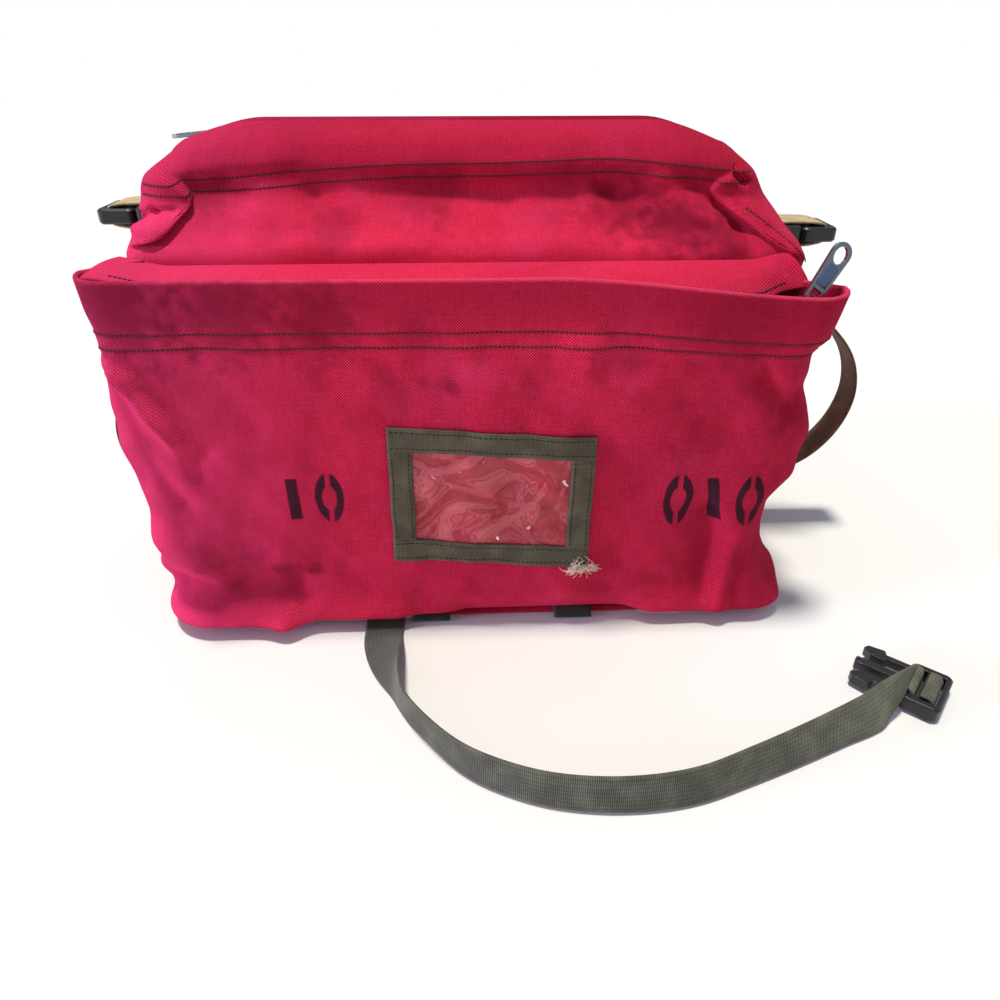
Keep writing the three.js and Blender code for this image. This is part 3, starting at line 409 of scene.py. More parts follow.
def cloth_shell(
    name: str, outer: Array, thick: Array, uv: Array, closed: bool, rim: int = 3
) -> bpy.types.Object:
    """Makes a cloth wall: an outer grid, a second face behind it and half-round edges between the two.

    Args:
        name: Object name.
        outer: Outer grid in millimetres, columns by rows.
        thick: Thickness at each grid point.
        uv: Coordinates of the grid; one column more than the grid if it is closed.
        closed: Whether the columns close on themselves.
        rim: Points on each rounded edge.

    Returns:
        The object.
    """
    normals = grid_normals(outer, closed)
    inner = outer - normals * thick[..., None]
    angles = np.pi * np.arange(1, rim + 1) / (rim + 1)

    def edge(row: int, step: int) -> Array:
        """Rounds one edge as half a circle from the outer face to the inner one.

        Args:
            row: Grid row of the edge.
            step: Step to the next row of the grid.

        Returns:
            Points round the edge.
        """
        middle = (outer[:, row] + inner[:, row]) / 2
        lead = outer[:, row] - middle
        reach = np.linalg.norm(lead, axis=-1, keepdims=True)
        out = unit(outer[:, row] - outer[:, row + step]) * reach
        return np.stack([middle + lead * np.cos(a) + out * np.sin(a) for a in angles], 1)

    top = edge(-1, -1)
    bottom = edge(0, 1)[:, ::-1]
    points = np.concatenate([outer, top, inner[:, ::-1], bottom], 1)
    arc = np.linspace(0, 1, rim + 2)[1:-1, None] * np.array([0.0, QUARTER * float(np.mean(thick))])
    last, first = uv[:, -1:], uv[:, :1]
    table = np.concatenate([uv, last + arc, uv[:, ::-1], first - arc, first], 1)
    return skin(name, points, table, closed)


@dataclass(frozen=True)
class Route:
    """A centripetal curve through stations, with a direction across the webbing carried along."""

    centres: Array
    across: Array
    dense: int = 1600

    @classmethod
    def held(cls, centres: Array, across: Place) -> "Route":
        """Makes a route whose webbing keeps one direction across."""
        return cls(centres, np.tile(across, (len(centres), 1)))

    @staticmethod
    def _curve(knots: Array, t: Array) -> Array:
        """Reads a centripetal curve whose knot spacing is the root of the distance between stations.

        Args:
            knots: Stations.
            t: Places from 0 to 1, even from station to station.

        Returns:
            Points on the curve.
        """
        before = 2 * knots[:1] - knots[1:2]
        after = 2 * knots[-1:] - knots[-2:-1]
        full = np.concatenate([before, knots, after])
        place = t * (len(knots) - 1)
        i = np.clip(np.floor(place).astype(int), 0, len(knots) - 2)
        u = (place - i)[:, None]
        p0, p1, p2, p3 = (full[i + k] for k in range(4))
        pairs = ((p0, p1), (p1, p2), (p2, p3))
        d0, d1, d2 = (np.sqrt(np.linalg.norm(b - a, axis=-1))[:, None] for a, b in pairs)
        d1 = np.where(d1 < NEAR, 1.0, d1)
        d0 = np.where(d0 < NEAR, d1, d0)
        d2 = np.where(d2 < NEAR, d1, d2)
        m1 = d1 * ((p1 - p0) / d0 - (p2 - p0) / (d0 + d1) + (p2 - p1) / d1)
        m2 = d1 * ((p2 - p1) / d1 - (p3 - p1) / (d1 + d2) + (p3 - p2) / d2)
        bend = 3 * (p2 - p1) - 2 * m1 - m2
        twist = 2 * (p1 - p2) + m1 + m2
        return p1 + u * (m1 + u * (bend + u * twist))

    def even(self, spacing: float) -> tuple[Array, Array, Array, Array]:
        """Samples the route at even distances.

        Args:
            spacing: Distance between samples.

        Returns:
            Centres, directions along, directions across and distances along.
        """
        t = np.linspace(0, 1, self.dense)
        line = self._curve(self.centres, t)
        walked = walk(line)
        count = max(LEAST_SPANS, int(np.ceil(walked[-1] / spacing)))
        along = np.linspace(0, walked[-1], count + 1)
        places = np.interp(along, walked, t)
        centres = self._curve(self.centres, places)
        ahead = unit(np.gradient(centres, axis=0))
        across = unit(self._curve(self.across, places))
        return centres, ahead, across, along

    def length(self, spacing: float = 1.0) -> float:
        """Measures the route."""
        return float(self.even(spacing)[3][-1])


def webbing_mesh(
    name: str, route: Route, width: float = WEB_WIDTH, thick: float = WEB_THICK, spacing: float = 1.2,
    face: int = 12, round_edge: int = 3,
) -> bpy.types.Object:
    """Makes webbing along a route: a flat section with half-round edges.

    Args:
        name: Object name.
        route: Route of the webbing's middle.
        width: Width.
        thick: Thickness.
        spacing: Distance between sections.
        face: Points across each face.
        round_edge: Points on each edge.

    Returns:
        The object, with coordinates across and along the webbing.
    """
    centres, ahead, across, along = route.even(spacing)
    up = unit(np.cross(ahead, across))
    flat = np.linspace(-1, 1, face) * (width - thick) / 2
    angles = np.pi * np.arange(1, round_edge + 1) / (round_edge + 1)
    edge_w = (width - thick) / 2 + np.sin(angles) * thick / 2
    edge_h = np.cos(angles) * thick / 2
    w = np.concatenate([flat, edge_w, flat[::-1], -edge_w])
    h = np.concatenate([np.full(face, thick / 2), edge_h, np.full(face, -thick / 2), -edge_h])
    points = centres[:, None] + across[:, None] * w[None, :, None] + up[:, None] * h[None, :, None]
    table_w = np.append(w, w[0])
    u, v = np.meshgrid(table_w, along)
    return skin(name, points, np.stack([u, v], -1), False)


@dataclass(frozen=True)
class StitchSpec:
    """Sizes of one kind of stitch or tooth."""

    length: float = 2.4
    gap: float = 0.1
    width: float = 1.5
    height: float = 0.7
    sink: float = 0.1
    rings: int = 6
    around: int = 6
    ahead: float = 0.5
    blunt: float = 0.97
    rise: float = 0.6


def stitch_mesh(
    name: str, paths: list[tuple[Array, Array]], spec: StitchSpec, crosswise: bool = False
) -> bpy.types.Object:
    """Makes a row of stitches along each path: small bowed sausages, thickest in the middle.

    Args:
        name: Object name.
        paths: Points and surface normals of each path, in millimetres.
        spec: Stitch sizes.
        crosswise: Whether each stitch lies across its path, as teeth do.

    Returns:
        The object.
    """
    centres, heading, lift = [], [], []
    for points, normals in paths:
        walked = walk(points)
        pitch = (spec.width if crosswise else spec.length) + spec.gap
        places = np.arange(pitch / 2, walked[-1] - pitch / 4, pitch)
        at = follow(places, walked, points)
        ahead = follow(places + spec.ahead, walked, points) - at
        up = unit(follow(places, walked, normals))
        ahead = unit(ahead - up * np.sum(ahead * up, -1, keepdims=True))
        centres.append(at)
        heading.append(np.cross(up, ahead) if crosswise else ahead)
        lift.append(up)
    at, ahead, up = (np.concatenate(part) for part in (centres, heading, lift))
    side = np.cross(up, ahead)
    t = np.linspace(-1, 1, spec.rings)
    taper = np.sqrt(np.maximum(1 - (spec.blunt * t) ** 2, 0))
    angles = 2 * np.pi * (np.arange(spec.around) + 0.5) / spec.around
    along = (t * spec.length / 2)[:, None] + 0 * angles
    across = taper[:, None] * np.cos(angles) * spec.width / 2
    height = taper[:, None] * (np.sin(angles) + spec.rise) * spec.height / 2 - spec.sink
    offsets = [part[None, ..., None] for part in (along, across, height)]
    points = at[:, None, None] + sum(
        axis[:, None, None] * part for axis, part in zip((ahead, side, up), offsets, strict=True)
    )
    quads, _, _ = skin_quads(spec.rings, spec.around, False)
    size = spec.rings * spec.around
    numbers = (quads[None] + size * np.arange(len(at))[:, None, None]).reshape(-1, 4)
    return mesh_object(name, points.reshape(-1, 3) * MM, numbers)


class Socket:
    """An output socket of a node graph, with arithmetic that adds nodes."""

    def __init__(self, graph: "Graph", link: bpy.types.NodeSocket) -> None:
        """Wraps a socket."""
        self.graph = graph
        self.link = link

    def math(self, operation: str, *others: "Socket | float", flipped: bool = False) -> "Socket":
        """Adds a Math node.

        Args:
            operation: Math operation.
            others: Further values.
            flipped: Whether this socket comes last.

        Returns:
            The result.
        """
        values = [self, *others]
        if flipped:
            values.reverse()
        return self.graph.node("ShaderNodeMath", {"operation": operation}, dict(enumerate(values)))

    def __add__(self, other: "Socket | float") -> "Socket":
        """Returns self plus other."""
        return self.math("ADD", other)

    def __radd__(self, other: float) -> "Socket":
        """Returns other plus self."""
        return self.math("ADD", other)

    def __sub__(self, other: "Socket | float") -> "Socket":
        """Returns self less other."""
        return self.math("SUBTRACT", other)

    def __rsub__(self, other: float) -> "Socket":
        """Returns other less self."""
        return self.math("SUBTRACT", other, flipped=True)

    def __mul__(self, other: "Socket | float") -> "Socket":
        """Returns self times other."""
        return self.math("MULTIPLY", other)

    def __rmul__(self, other: float) -> "Socket":
        """Returns other times self."""
        return self.math("MULTIPLY", other)

    def __truediv__(self, other: "Socket | float") -> "Socket":
        """Returns self over other."""
        return self.math("DIVIDE", other)

    def __rtruediv__(self, other: float) -> "Socket":
        """Returns other over self."""
        return self.math("DIVIDE", other, flipped=True)

    def __pow__(self, other: "Socket | float") -> "Socket":
        """Returns self to the power of other."""
        return self.math("POWER", other)

    def sine(self) -> "Socket":
        """Returns the sine."""
        return self.math("SINE")

    def size(self) -> "Socket":
        """Returns the absolute value."""
        return self.math("ABSOLUTE")

    def middled(self) -> "Socket":
        """Returns a value from -1 to 1 as one from 0 to 1."""
        return self * 0.5 + 0.5

    def most(self, other: "Socket | float") -> "Socket":
        """Returns the larger of self and other."""
        return self.math("MAXIMUM", other)

    def ramp(self, low: float, high: float) -> "Socket":
        """Rises smoothly from 0 at low to 1 at high.

        Args:
            low: Start value.
            high: End value.

        Returns:
            The ramp.
        """
        settings = {"interpolation_type": "SMOOTHSTEP"}
        inputs = {"Value": self, "From Min": low, "From Max": high}
        return self.graph.node("ShaderNodeMapRange", settings, inputs)

    def blend(self, low: "Socket | Colour", high: "Socket | Colour") -> "Socket":
        """Mixes two colours by this socket."""
        inputs = {"Factor_Float": self, "A_Color": low, "B_Color": high}
        return self.graph.node("ShaderNodeMix", {"data_type": "RGBA"}, inputs, "Result_Color")


@dataclass(frozen=True)
class Speckle:
    """Settings of a noise: cells per metre, octaves and distortion."""

    scale: float
    detail: float = 3.0
    twist: float = 0.0


class Graph:
    """A material's node graph around one Principled shader."""

    def __init__(self, name: str) -> None:
        """Makes an empty material.

        Args:
            name: Material name.
        """
        self.material = bpy.data.materials.new(name)
        self.material.use_nodes = True
        self.tree = self.material.node_tree
        self.tree.nodes.clear()

    def _place(self, target: bpy.types.NodeSocket, value: "Socket | float | Colour") -> None:
        """Links a socket or sets a constant.

        Args:
            target: Input socket.
            value: Socket or constant.
        """
        if isinstance(value, Socket):
            self.tree.links.new(value.link, target)
        else:
            target.default_value = value

    def node(
        self, kind: str, settings: dict | None = None, inputs: dict | None = None, output: str | int = 0
    ) -> Socket:
        """Adds a node.

        Args:
            kind: Node type.
            settings: Node properties.
            inputs: Values or links by input number, identifier or name.
            output: Output number or identifier.

        Returns:
            The chosen output.
        """
        made = self.tree.nodes.new(kind)
        for key, value in (settings or {}).items():
            setattr(made, key, value)
        for key, value in (inputs or {}).items():
            match = [s for s in made.inputs if key in (s.identifier, s.name)]
            self._place(match[0] if match else made.inputs[key], value)
        found = [s for s in made.outputs if s.identifier == output]
        return Socket(self, found[0] if found else made.outputs[output])

    def uv(self) -> tuple[Socket, Socket, Socket]:
        """Adds the cloth coordinates.

        Returns:
            The coordinate vector, its first and its second part, in metres.
        """
        vector = self.node("ShaderNodeUVMap", {"uv_map": UV_MAP})
        parts = self.node("ShaderNodeSeparateXYZ", None, {"Vector": vector})
        second = Socket(self, parts.link.node.outputs["Y"])
        return vector, parts, second

    def vector(self, x: "Socket | float", y: "Socket | float") -> Socket:
        """Joins two values into a vector."""
        return self.node("ShaderNodeCombineXYZ", None, {"X": x, "Y": y})

    def position(self) -> Socket:
        """Adds the Object coordinates."""
        return self.node("ShaderNodeTexCoord", None, None, "Object")

    def noise(self, vector: Socket, kind: Speckle) -> Socket:
        """Adds a noise value between 0 and 1."""
        inputs = {"Vector": vector, "Scale": kind.scale, "Detail": kind.detail, "Distortion": kind.twist}
        return self.node("ShaderNodeTexNoise", None, inputs)

    def bump(self, height: Socket, depth: float, normal: Socket | None = None) -> Socket:
        """Turns a height into a bent normal.

        Args:
            height: Height from 0 to 1.
            depth: Height of 1 in metres.
            normal: Normal to bend.

        Returns:
            The bent normal.
        """
        inputs = {"Height": height, "Distance": depth, "Strength": 1.0}
        if normal is not None:
            inputs["Normal"] = normal
        return self.node("ShaderNodeBump", None, inputs)

    def finish(self, **inputs: "Socket | float | Colour") -> bpy.types.Material:
        """Adds the shader and the output.

        Args:
            inputs: Shader inputs, with underscores for spaces.

        Returns:
            The material.
        """
        named = {key.replace("_", " "): value for key, value in inputs.items()}
        shader = self.node("ShaderNodeBsdfPrincipled", None, named)
        made = self.tree.nodes.new("ShaderNodeOutputMaterial")
        self.tree.links.new(shader.link, made.inputs["Surface"])
        return self.material


@dataclass(frozen=True)
class StainAndShadeSpot:
    """A soft dark spot at a place on the cloth, in millimetres; some are real stains, some are painted shade.
    """

    u: float
    v: float
    radius: float
    depth: float


@dataclass(frozen=True)
class Bar:
    """A stencilled stroke: middle, half sizes and slant, in millimetres."""

    u: float
    v: float
    half_u: float
    half_v: float
    slant: float = 0.0


@dataclass(frozen=True)
class Ring:
    """A stencilled round stroke with a bridge at its top and bottom, in millimetres."""

    u: float
    v: float
    radius_u: float
    radius_v: float
    stroke: float
    bridge: float


@dataclass(frozen=True)
class Patches:
    """Cloudy patches: a noise, the span of it that rises from none to all, and how strongly they show."""

    noise: Speckle
    span: Span
    amount: float

    def cover(self, graph: Graph, vector: Socket) -> Socket:
        """Adds the patches."""
        return graph.noise(vector, self.noise).ramp(*self.span) * self.amount


@dataclass(frozen=True)
class LightAndShadeBand:
    """A broad band of painted side light, which rises over one span and falls over another, in millimetres;
    towards a dark colour it is painted shade.
    """

    rise: Span
    fall: Span
    amount: float

    def cover(self, u: Socket) -> Socket:
        """Adds the painted band."""
        return u.ramp(*self.rise) * (1.0 - u.ramp(*self.fall)) * self.amount


@dataclass(frozen=True)
class Canvas:
    """Plain-weave canvas with thread crowns, slubs, stains and painted marks, plus painted light and shade:
    dappled patches, side bands, a darker top, a rim highlight and shade spots.
    """

    name: str
    dye: Colour = display(228, 39, 74)
    # Dark dye between thread crowns; also the colour of painted shade.
    deep_dye_and_shade: Colour = display(122, 6, 30)
    # Pale thread crowns; also the colour of the painted rim highlight.
    pale_crown_and_highlight: Colour = display(255, 84, 122)
    ink: Colour = display(40, 28, 38)
    # Colour of real stains and of spots of painted shade.
    stain_and_shade: Colour = display(96, 14, 34)
    # Pink of painted light: side light on the left and dappled light patches.
    painted_pink_light: Colour = display(222, 66, 124)
    lustre: Colour = display(255, 110, 170)
    pitch: float = 1.6
    # Real stains and spots of painted shade.
    stains_and_shade_spots: tuple[StainAndShadeSpot, ...] = ()
    bars: tuple[Bar, ...] = ()
    rings: tuple[Ring, ...] = ()
    seams: tuple[float, ...] = ()
    softness: float = 0.45
    # A painted highlight along the rim, above this height.
    rim_highlight_from: float = 1000.0
    rim_highlight_span: float = 1.5
    wear_and_rim_highlight: float = 0.35
    # Painted shade towards the top, rising over this span.
    painted_shade_from: Span = (262.0, 284.0)
    shade: float = 0.4
    wobble: Speckle = Speckle(160.0, 2.0)
    sway: float = 5.0
    weft_lag: float = 1.0
    slub: Speckle = Speckle(1.0, 1.0)
    slub_scales: Span = (90.0, 620.0)
    fluff: Speckle = Speckle(900.0, 2.0)
    shares: tuple[float, float, float] = (0.62, 0.12, 0.2)
    tone: Span = (0.15, 0.72)
    crowns: Span = (0.56, 0.86)
    crown_fade: float = 0.7
    # Painted dappled light, then painted dappled shade, in cloudy patches.
    dappled_light: Patches = Patches(Speckle(24.0, 3.0, 0.3), (0.52, 0.8), 0.22)
    dappled_shade: Patches = Patches(Speckle(15.0, 4.0, 0.5), (0.48, 0.8), 0.3)
    # Painted pink light on the left side, painted shade on the right side.
    left: LightAndShadeBand = LightAndShadeBand((-400.0, -240.0), (-195.0, -60.0), 0.4)
    right: LightAndShadeBand = LightAndShadeBand((60.0, 200.0), (240.0, 400.0), 0.3)
    edge: Speckle = Speckle(120.0, 3.0)
    ragged: float = 1.2
    spot_span: Span = (0.15, 1.0)
    ink_wander: float = 0.8
    ink_cover: float = 0.97
    ink_crowns: Span = (0.62, 0.85)
    ink_loss: float = 0.25
    groove: Span = (0.3, 2.4)
    groove_depth: float = 0.9
    relief: float = 0.0007
    rough: float = 0.95
    gloss: float = 0.03
    sheen: float = 0.14
    sheen_rough: float = 0.4

    def _ink(self, u: Socket, v: Socket) -> Socket | None:
        """Draws the painted marks: 1 inside a stroke, by distance from its edge.

        Args:
            u: First coordinate in millimetres.
            v: Second coordinate in millimetres.

        Returns:
            The ink cover, or None without marks.
        """
        edges = []
        for bar in self.bars:
            du = ((u - bar.u) - (v - bar.v) * bar.slant).size() - bar.half_u
            dv = (v - bar.v).size() - bar.half_v
            edges.append(du.most(dv))
        for ring in self.rings:
            du = u - ring.u
            dv = v - ring.v
            far = ((du / ring.radius_u) ** 2.0 + (dv / ring.radius_v) ** 2.0) ** 0.5
            edge = (far - 1.0).size() * ring.radius_u - ring.stroke / 2
            edges.append(edge.most(ring.bridge / 2 - du.size()))
        cover = None
        for edge in edges:
            inside = 1.0 - edge.ramp(-self.softness, self.softness)
            cover = inside if cover is None else cover.most(inside)
        return cover

    def material(self) -> bpy.types.Material:
        """Builds the material.

        Returns:
            The material.
        """
        graph = Graph(self.name)
        vector, u, v = graph.uv()
        wobble = graph.noise(vector, self.wobble)
        wave = 2 * np.pi / (self.pitch * MM)
        warp = (u * wave + wobble * self.sway).sine()
        weft = (v * wave + wobble * self.sway + self.weft_lag).sine()
        crown = (warp * weft).middled()
        long, short = self.slub_scales
        slub_u = graph.noise(graph.vector(u * long, v * short), self.slub)
        slub_v = graph.noise(graph.vector(u * short, v * long), self.slub)
        fluff = graph.noise(vector, self.fluff)
        of_crown, of_slub, of_fluff = self.shares
        grain = crown * of_crown + slub_u * of_slub + slub_v * of_slub + fluff * of_fluff
        base = grain.ramp(*self.tone).blend(self.deep_dye_and_shade, self.dye)
        base = (grain.ramp(*self.crowns) * self.crown_fade).blend(base, self.pale_crown_and_highlight)
        place = graph.position()
        # Painted dappled light and painted dappled shade.
        base = self.dappled_light.cover(graph, place).blend(base, self.painted_pink_light)
        base = self.dappled_shade.cover(graph, place).blend(base, self.deep_dye_and_shade)
        mm_u = u * TO_MM
        mm_v = v * TO_MM
        # Painted pink light on the left, painted shade on the right.
        base = self.left.cover(mm_u).blend(base, self.painted_pink_light)
        base = self.right.cover(mm_u).blend(base, self.deep_dye_and_shade)
        # Painted shade towards the top of the wall.
        base = (mm_v.ramp(*self.painted_shade_from) * self.shade).blend(base, self.deep_dye_and_shade)
        # Painted highlight along the rim.
        wear_and_rim_highlight = mm_v.ramp(self.rim_highlight_from, self.rim_highlight_from + self.rim_highlight_span) * self.wear_and_rim_highlight
        base = wear_and_rim_highlight.blend(base, self.pale_crown_and_highlight)
        stray = graph.noise(vector, self.edge) - 0.5
        # Real stains and spots of painted shade, each darkest in its middle.
        for spot in self.stains_and_shade_spots:
            far = ((mm_u - spot.u) ** 2.0 + (mm_v - spot.v) ** 2.0) ** 0.5
            ragged = far / spot.radius + stray * self.ragged
            mark = (1.0 - ragged.ramp(*self.spot_span)) * spot.depth
            base = mark.blend(base, self.stain_and_shade)
        wander = stray * self.ink_wander
        cover = self._ink(mm_u + wander, mm_v + wander)
        if cover is not None:
            kept = cover * (self.ink_cover - grain.ramp(*self.ink_crowns) * self.ink_loss)
            base = kept.blend(base, self.ink)
        height = grain
        for seam in self.seams:
            groove = 1.0 - (mm_v - seam).size().ramp(*self.groove)
            height = height - groove * self.groove_depth
        return graph.finish(
            Base_Color=base, Roughness=self.rough, Normal=graph.bump(height, self.relief),
            Specular_IOR_Level=self.gloss, Sheen_Weight=self.sheen, Sheen_Roughness=self.sheen_rough,
            Sheen_Tint=self.lustre,
        )


@dataclass(frozen=True)
class Webbing:
    """Woven webbing or tape with ribs across its width, and painted shade along its start where set."""

    name: str
    colour: Colour
    dark: Colour
    rib: float = 1.05
    rows: float = 9.0
    depth: float = 0.0003
    # Painted shade along the start of the webbing, over this many millimetres.
    shaded_length: float = 0.0
    shade_start: float = 0.6
    stain_and_shade: float = 0.75
    wobble: Speckle = Speckle(220.0, 2.0)
    rib_sway: float = 2.4
    yarn_sway: float = 2.0
    rib_share: float = 0.75
    wear: Patches = Patches(Speckle(70.0, 4.0), (0.35, 0.75), 0.3)
    tone: Span = (0.1, 0.95)
    rough: float = 0.78
    gloss: float = 0.3
    sheen: float = 0.12
    sheen_rough: float = 0.5

    def material(self) -> bpy.types.Material:
        """Builds the material.

        Returns:
            The material.
        """
        graph = Graph(self.name)
        vector, across, along = graph.uv()
        wobble = graph.noise(vector, self.wobble)
        rib_wave = 2 * np.pi / (self.rib * MM)
        yarn_wave = 2 * np.pi * self.rows / (WEB_WIDTH * MM)
        ribs = (along * rib_wave + wobble * self.rib_sway).sine().middled()
        yarn = (across * yarn_wave + wobble * self.yarn_sway).sine().middled()
        height = ribs * self.rib_share + yarn * (1 - self.rib_share)
        wear_and_rim_highlight = height * (1 - self.wear.amount) + self.wear.cover(graph, vector)
        base = wear_and_rim_highlight.ramp(*self.tone).blend(self.dark, self.colour)
        # Painted shade where the webbing starts.
        if self.shaded_length:
            start = 1.0 - (along * TO_MM).ramp(self.shaded_length * self.shade_start, self.shaded_length)
            base = (start * self.stain_and_shade).blend(base, self.dark)
        return graph.finish(
            Base_Color=base, Roughness=self.rough, Normal=graph.bump(height, self.depth),
            Specular_IOR_Level=self.gloss, Sheen_Weight=self.sheen, Sheen_Roughness=self.sheen_rough,
        )


@dataclass(frozen=True)
class Vinyl:
    """Clear sheet with swirling ripples, pale swirls of painted glare and small painted glints."""

    name: str
    tint: Colour = display(192, 50, 66)
    # Pale swirls are painted glare on the crinkled sheet; glints are painted highlights.
    glare_swirl: Colour = display(244, 128, 134)
    glint: Colour = display(250, 226, 226)
    stretch: Span = (1.1, 0.8)
    swirl: Speckle = Speckle(30.0, 1.0, 2.6)
    bands: float = 26.0
    tone: Span = (0.34, 0.66)
    tone_share: float = 0.55
    line_power: float = 8.0
    line: float = 0.7
    slant: Span = (0.5, 1.3)
    spark: Speckle = Speckle(85.0, 0.0, 1.2)
    spark_span: Span = (0.8, 0.86)
    spark_cover: float = 0.4
    cover: float = 0.55
    relief: float = 0.0012
    rough: float = 0.16
    gloss: float = 0.4

    def material(self) -> bpy.types.Material:
        """Builds the material.

        Returns:
            The material.
        """
        graph = Graph(self.name)
        _, u, v = graph.uv()
        wide, high = self.stretch
        swirl = graph.noise(graph.vector(u * wide, v * high), self.swirl)
        bands = (swirl * self.bands).sine().middled()
        tone = swirl.ramp(*self.tone) * self.tone_share + bands * (1 - self.tone_share)
        # Painted glare: pale swirls.
        base = tone.blend(self.tint, self.glare_swirl)
        base = (bands**self.line_power * self.line).blend(base, self.tint)
        near, far = self.slant
        slanted = graph.vector(u * near + v * far, v * near - u * far)
        # Painted glints: bright spots that also make the sheet less clear.
        spark = graph.noise(slanted, self.spark).ramp(*self.spark_span)
        base = spark.blend(base, self.glint)
        return graph.finish(
            Base_Color=base, Roughness=self.rough, Normal=graph.bump(swirl, self.relief),
            Alpha=spark * self.spark_cover + self.cover, Specular_IOR_Level=self.gloss,
        )


@dataclass(frozen=True)
class Plain:
    """Hard finish with a fine grain, smudges and softened edges."""

    name: str
    colour: Colour
    rough: float
    metal: float = 0.0
    grain: float = 0.00004
    edge: float = 0.0006
    coat: float = 0.0
    fine: Speckle = Speckle(1400.0, 2.0)
    smudge: Speckle = Speckle(130.0, 4.0)
    smudged: float = 0.22
    edge_samples: int = 6

    def material(self) -> bpy.types.Material:
        """Builds the material.

        Returns:
            The material.
        """
        graph = Graph(self.name)
        place = graph.position()
        soft = graph.node("ShaderNodeBevel", {"samples": self.edge_samples}, {"Radius": self.edge})
        normal = graph.bump(graph.noise(place, self.fine), self.grain, soft)
        rough = graph.noise(place, self.smudge) * self.smudged + (self.rough - self.smudged / 2)
        return graph.finish(
            Base_Color=self.colour, Roughness=rough, Metallic=self.metal, Normal=normal, Coat_Weight=self.coat
        )


@dataclass(frozen=True)
class Thread:
    """Sewing thread or frayed fibre."""

    name: str
    colour: Colour
    rough: float = 0.8
    gloss: float = 0.25

    def material(self) -> bpy.types.Material:
        """Builds the material."""
        graph = Graph(self.name)
        return graph.finish(Base_Color=self.colour, Roughness=self.rough, Specular_IOR_Level=self.gloss)


def dress(
    piece: bpy.types.Object, material: bpy.types.Material, body: Body,
    nodes: tuple[str, ...] = (),
) -> bpy.types.Object:
    """Gives a piece its material, its body and the nodes that it stands for.

    Args:
        piece: Piece to dress.
        material: Its material.
        body: Body that it rides.
        nodes: CAD nodes that it replaces.

    Returns:
        The piece.
    """
    piece.data.materials.clear()
    piece.data.materials.append(material)
    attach(piece, body.value)
    if nodes:
        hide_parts(*nodes)
    LOG.info("%s: %d faces", piece.name, len(piece.data.polygons))
    return piece


@dataclass(frozen=True)
class Ear:
    """A corner tuck: beyond its crease line the cloth is pushed out, over the front and down."""

    side: Side
    out: float
    over: float
    down: float
    crease: Table
    edge: float = 4.5
    fade_from: float = 202.0
    fade_to: float = 228.0
    foot: float = 8.0
    head_from: float = 272.0
    head_to: float = 287.0
    clear: tuple[Span, Span] | None = None

    def amount(self, s: Array, z: Array) -> Array:
        """Gives 1 inside the tuck and 0 outside, as a product of smooth ramps.

        Args:
            s: Distances along the wall.
            z: Heights on the wall.

        Returns:
            The amount at each place.
        """
        reach = self.side.value * s
        crease = self.crease.read("s", self.crease.row_at("z", z))
        low = self.crease.rows[0][0]
        inside = ramp(-self.edge, self.edge, reach - crease)
        foot = ramp(low - self.foot, low, z)
        head = 1 - ramp(self.head_from, self.head_to, z)
        share = inside * foot * head * (1 - ramp(self.fade_from, self.fade_to, reach))
        if self.clear:
            beyond, below = self.clear
            share = share * (1 - ramp(*beyond, reach) * (1 - ramp(*below, z)))
        return share


@dataclass(frozen=True)
class Wall:
    """A canvas wall over a table of plan sections."""

    table: Table
    folds: tuple[Fold, ...]
    creases: tuple[Fold, ...]
    cloth: float = 2.0
    hem_cloth: float = 2.8

    def points(self, position: Array, row: Array) -> Array:
        """Places points of the outer face."""
        raise NotImplementedError

    def thickness(self, hemmed: Array) -> Array:
        """Gives the cloth's thickness."""
        return self.cloth + (self.hem_cloth - self.cloth) * hemmed

    @staticmethod
    def flat_half(section: dict[str, Array], s: Array) -> Array:
        """Gives half of the flat front on the side where each place lies."""
        return np.where(s < 0, -section["left"], section["right"]) - section["corner"]

    def frame_at(self, position: Array, row: Array, step: float = 0.01) -> tuple[Array, Array]:
        """Places points and their outward normals, from small steps round and up.

        Args:
            position: Run positions.
            row: Row positions.
            step: Step for the differences.

        Returns:
            Points and unit normals.
        """
        across = self.points(position + step, row) - self.points(position - step, row)
        up = self.points(position, row + step) - self.points(position, row - step)
        return self.points(position, row), unit(np.cross(across, up))

    def row_path(self, z: float, start: float, end: float, count: int = 900) -> tuple[Array, Array]:
        """Follows the wall at one height of its table.

        Args:
            z: Height in the table.
            start: First run position.
            end: Last run position.
            count: Points on the path.

        Returns:
            Points and normals along the path.
        """
        position = np.linspace(start, end, count)
        row = self.table.row_at("z", np.full(count, z))
        return self.frame_at(position, row)


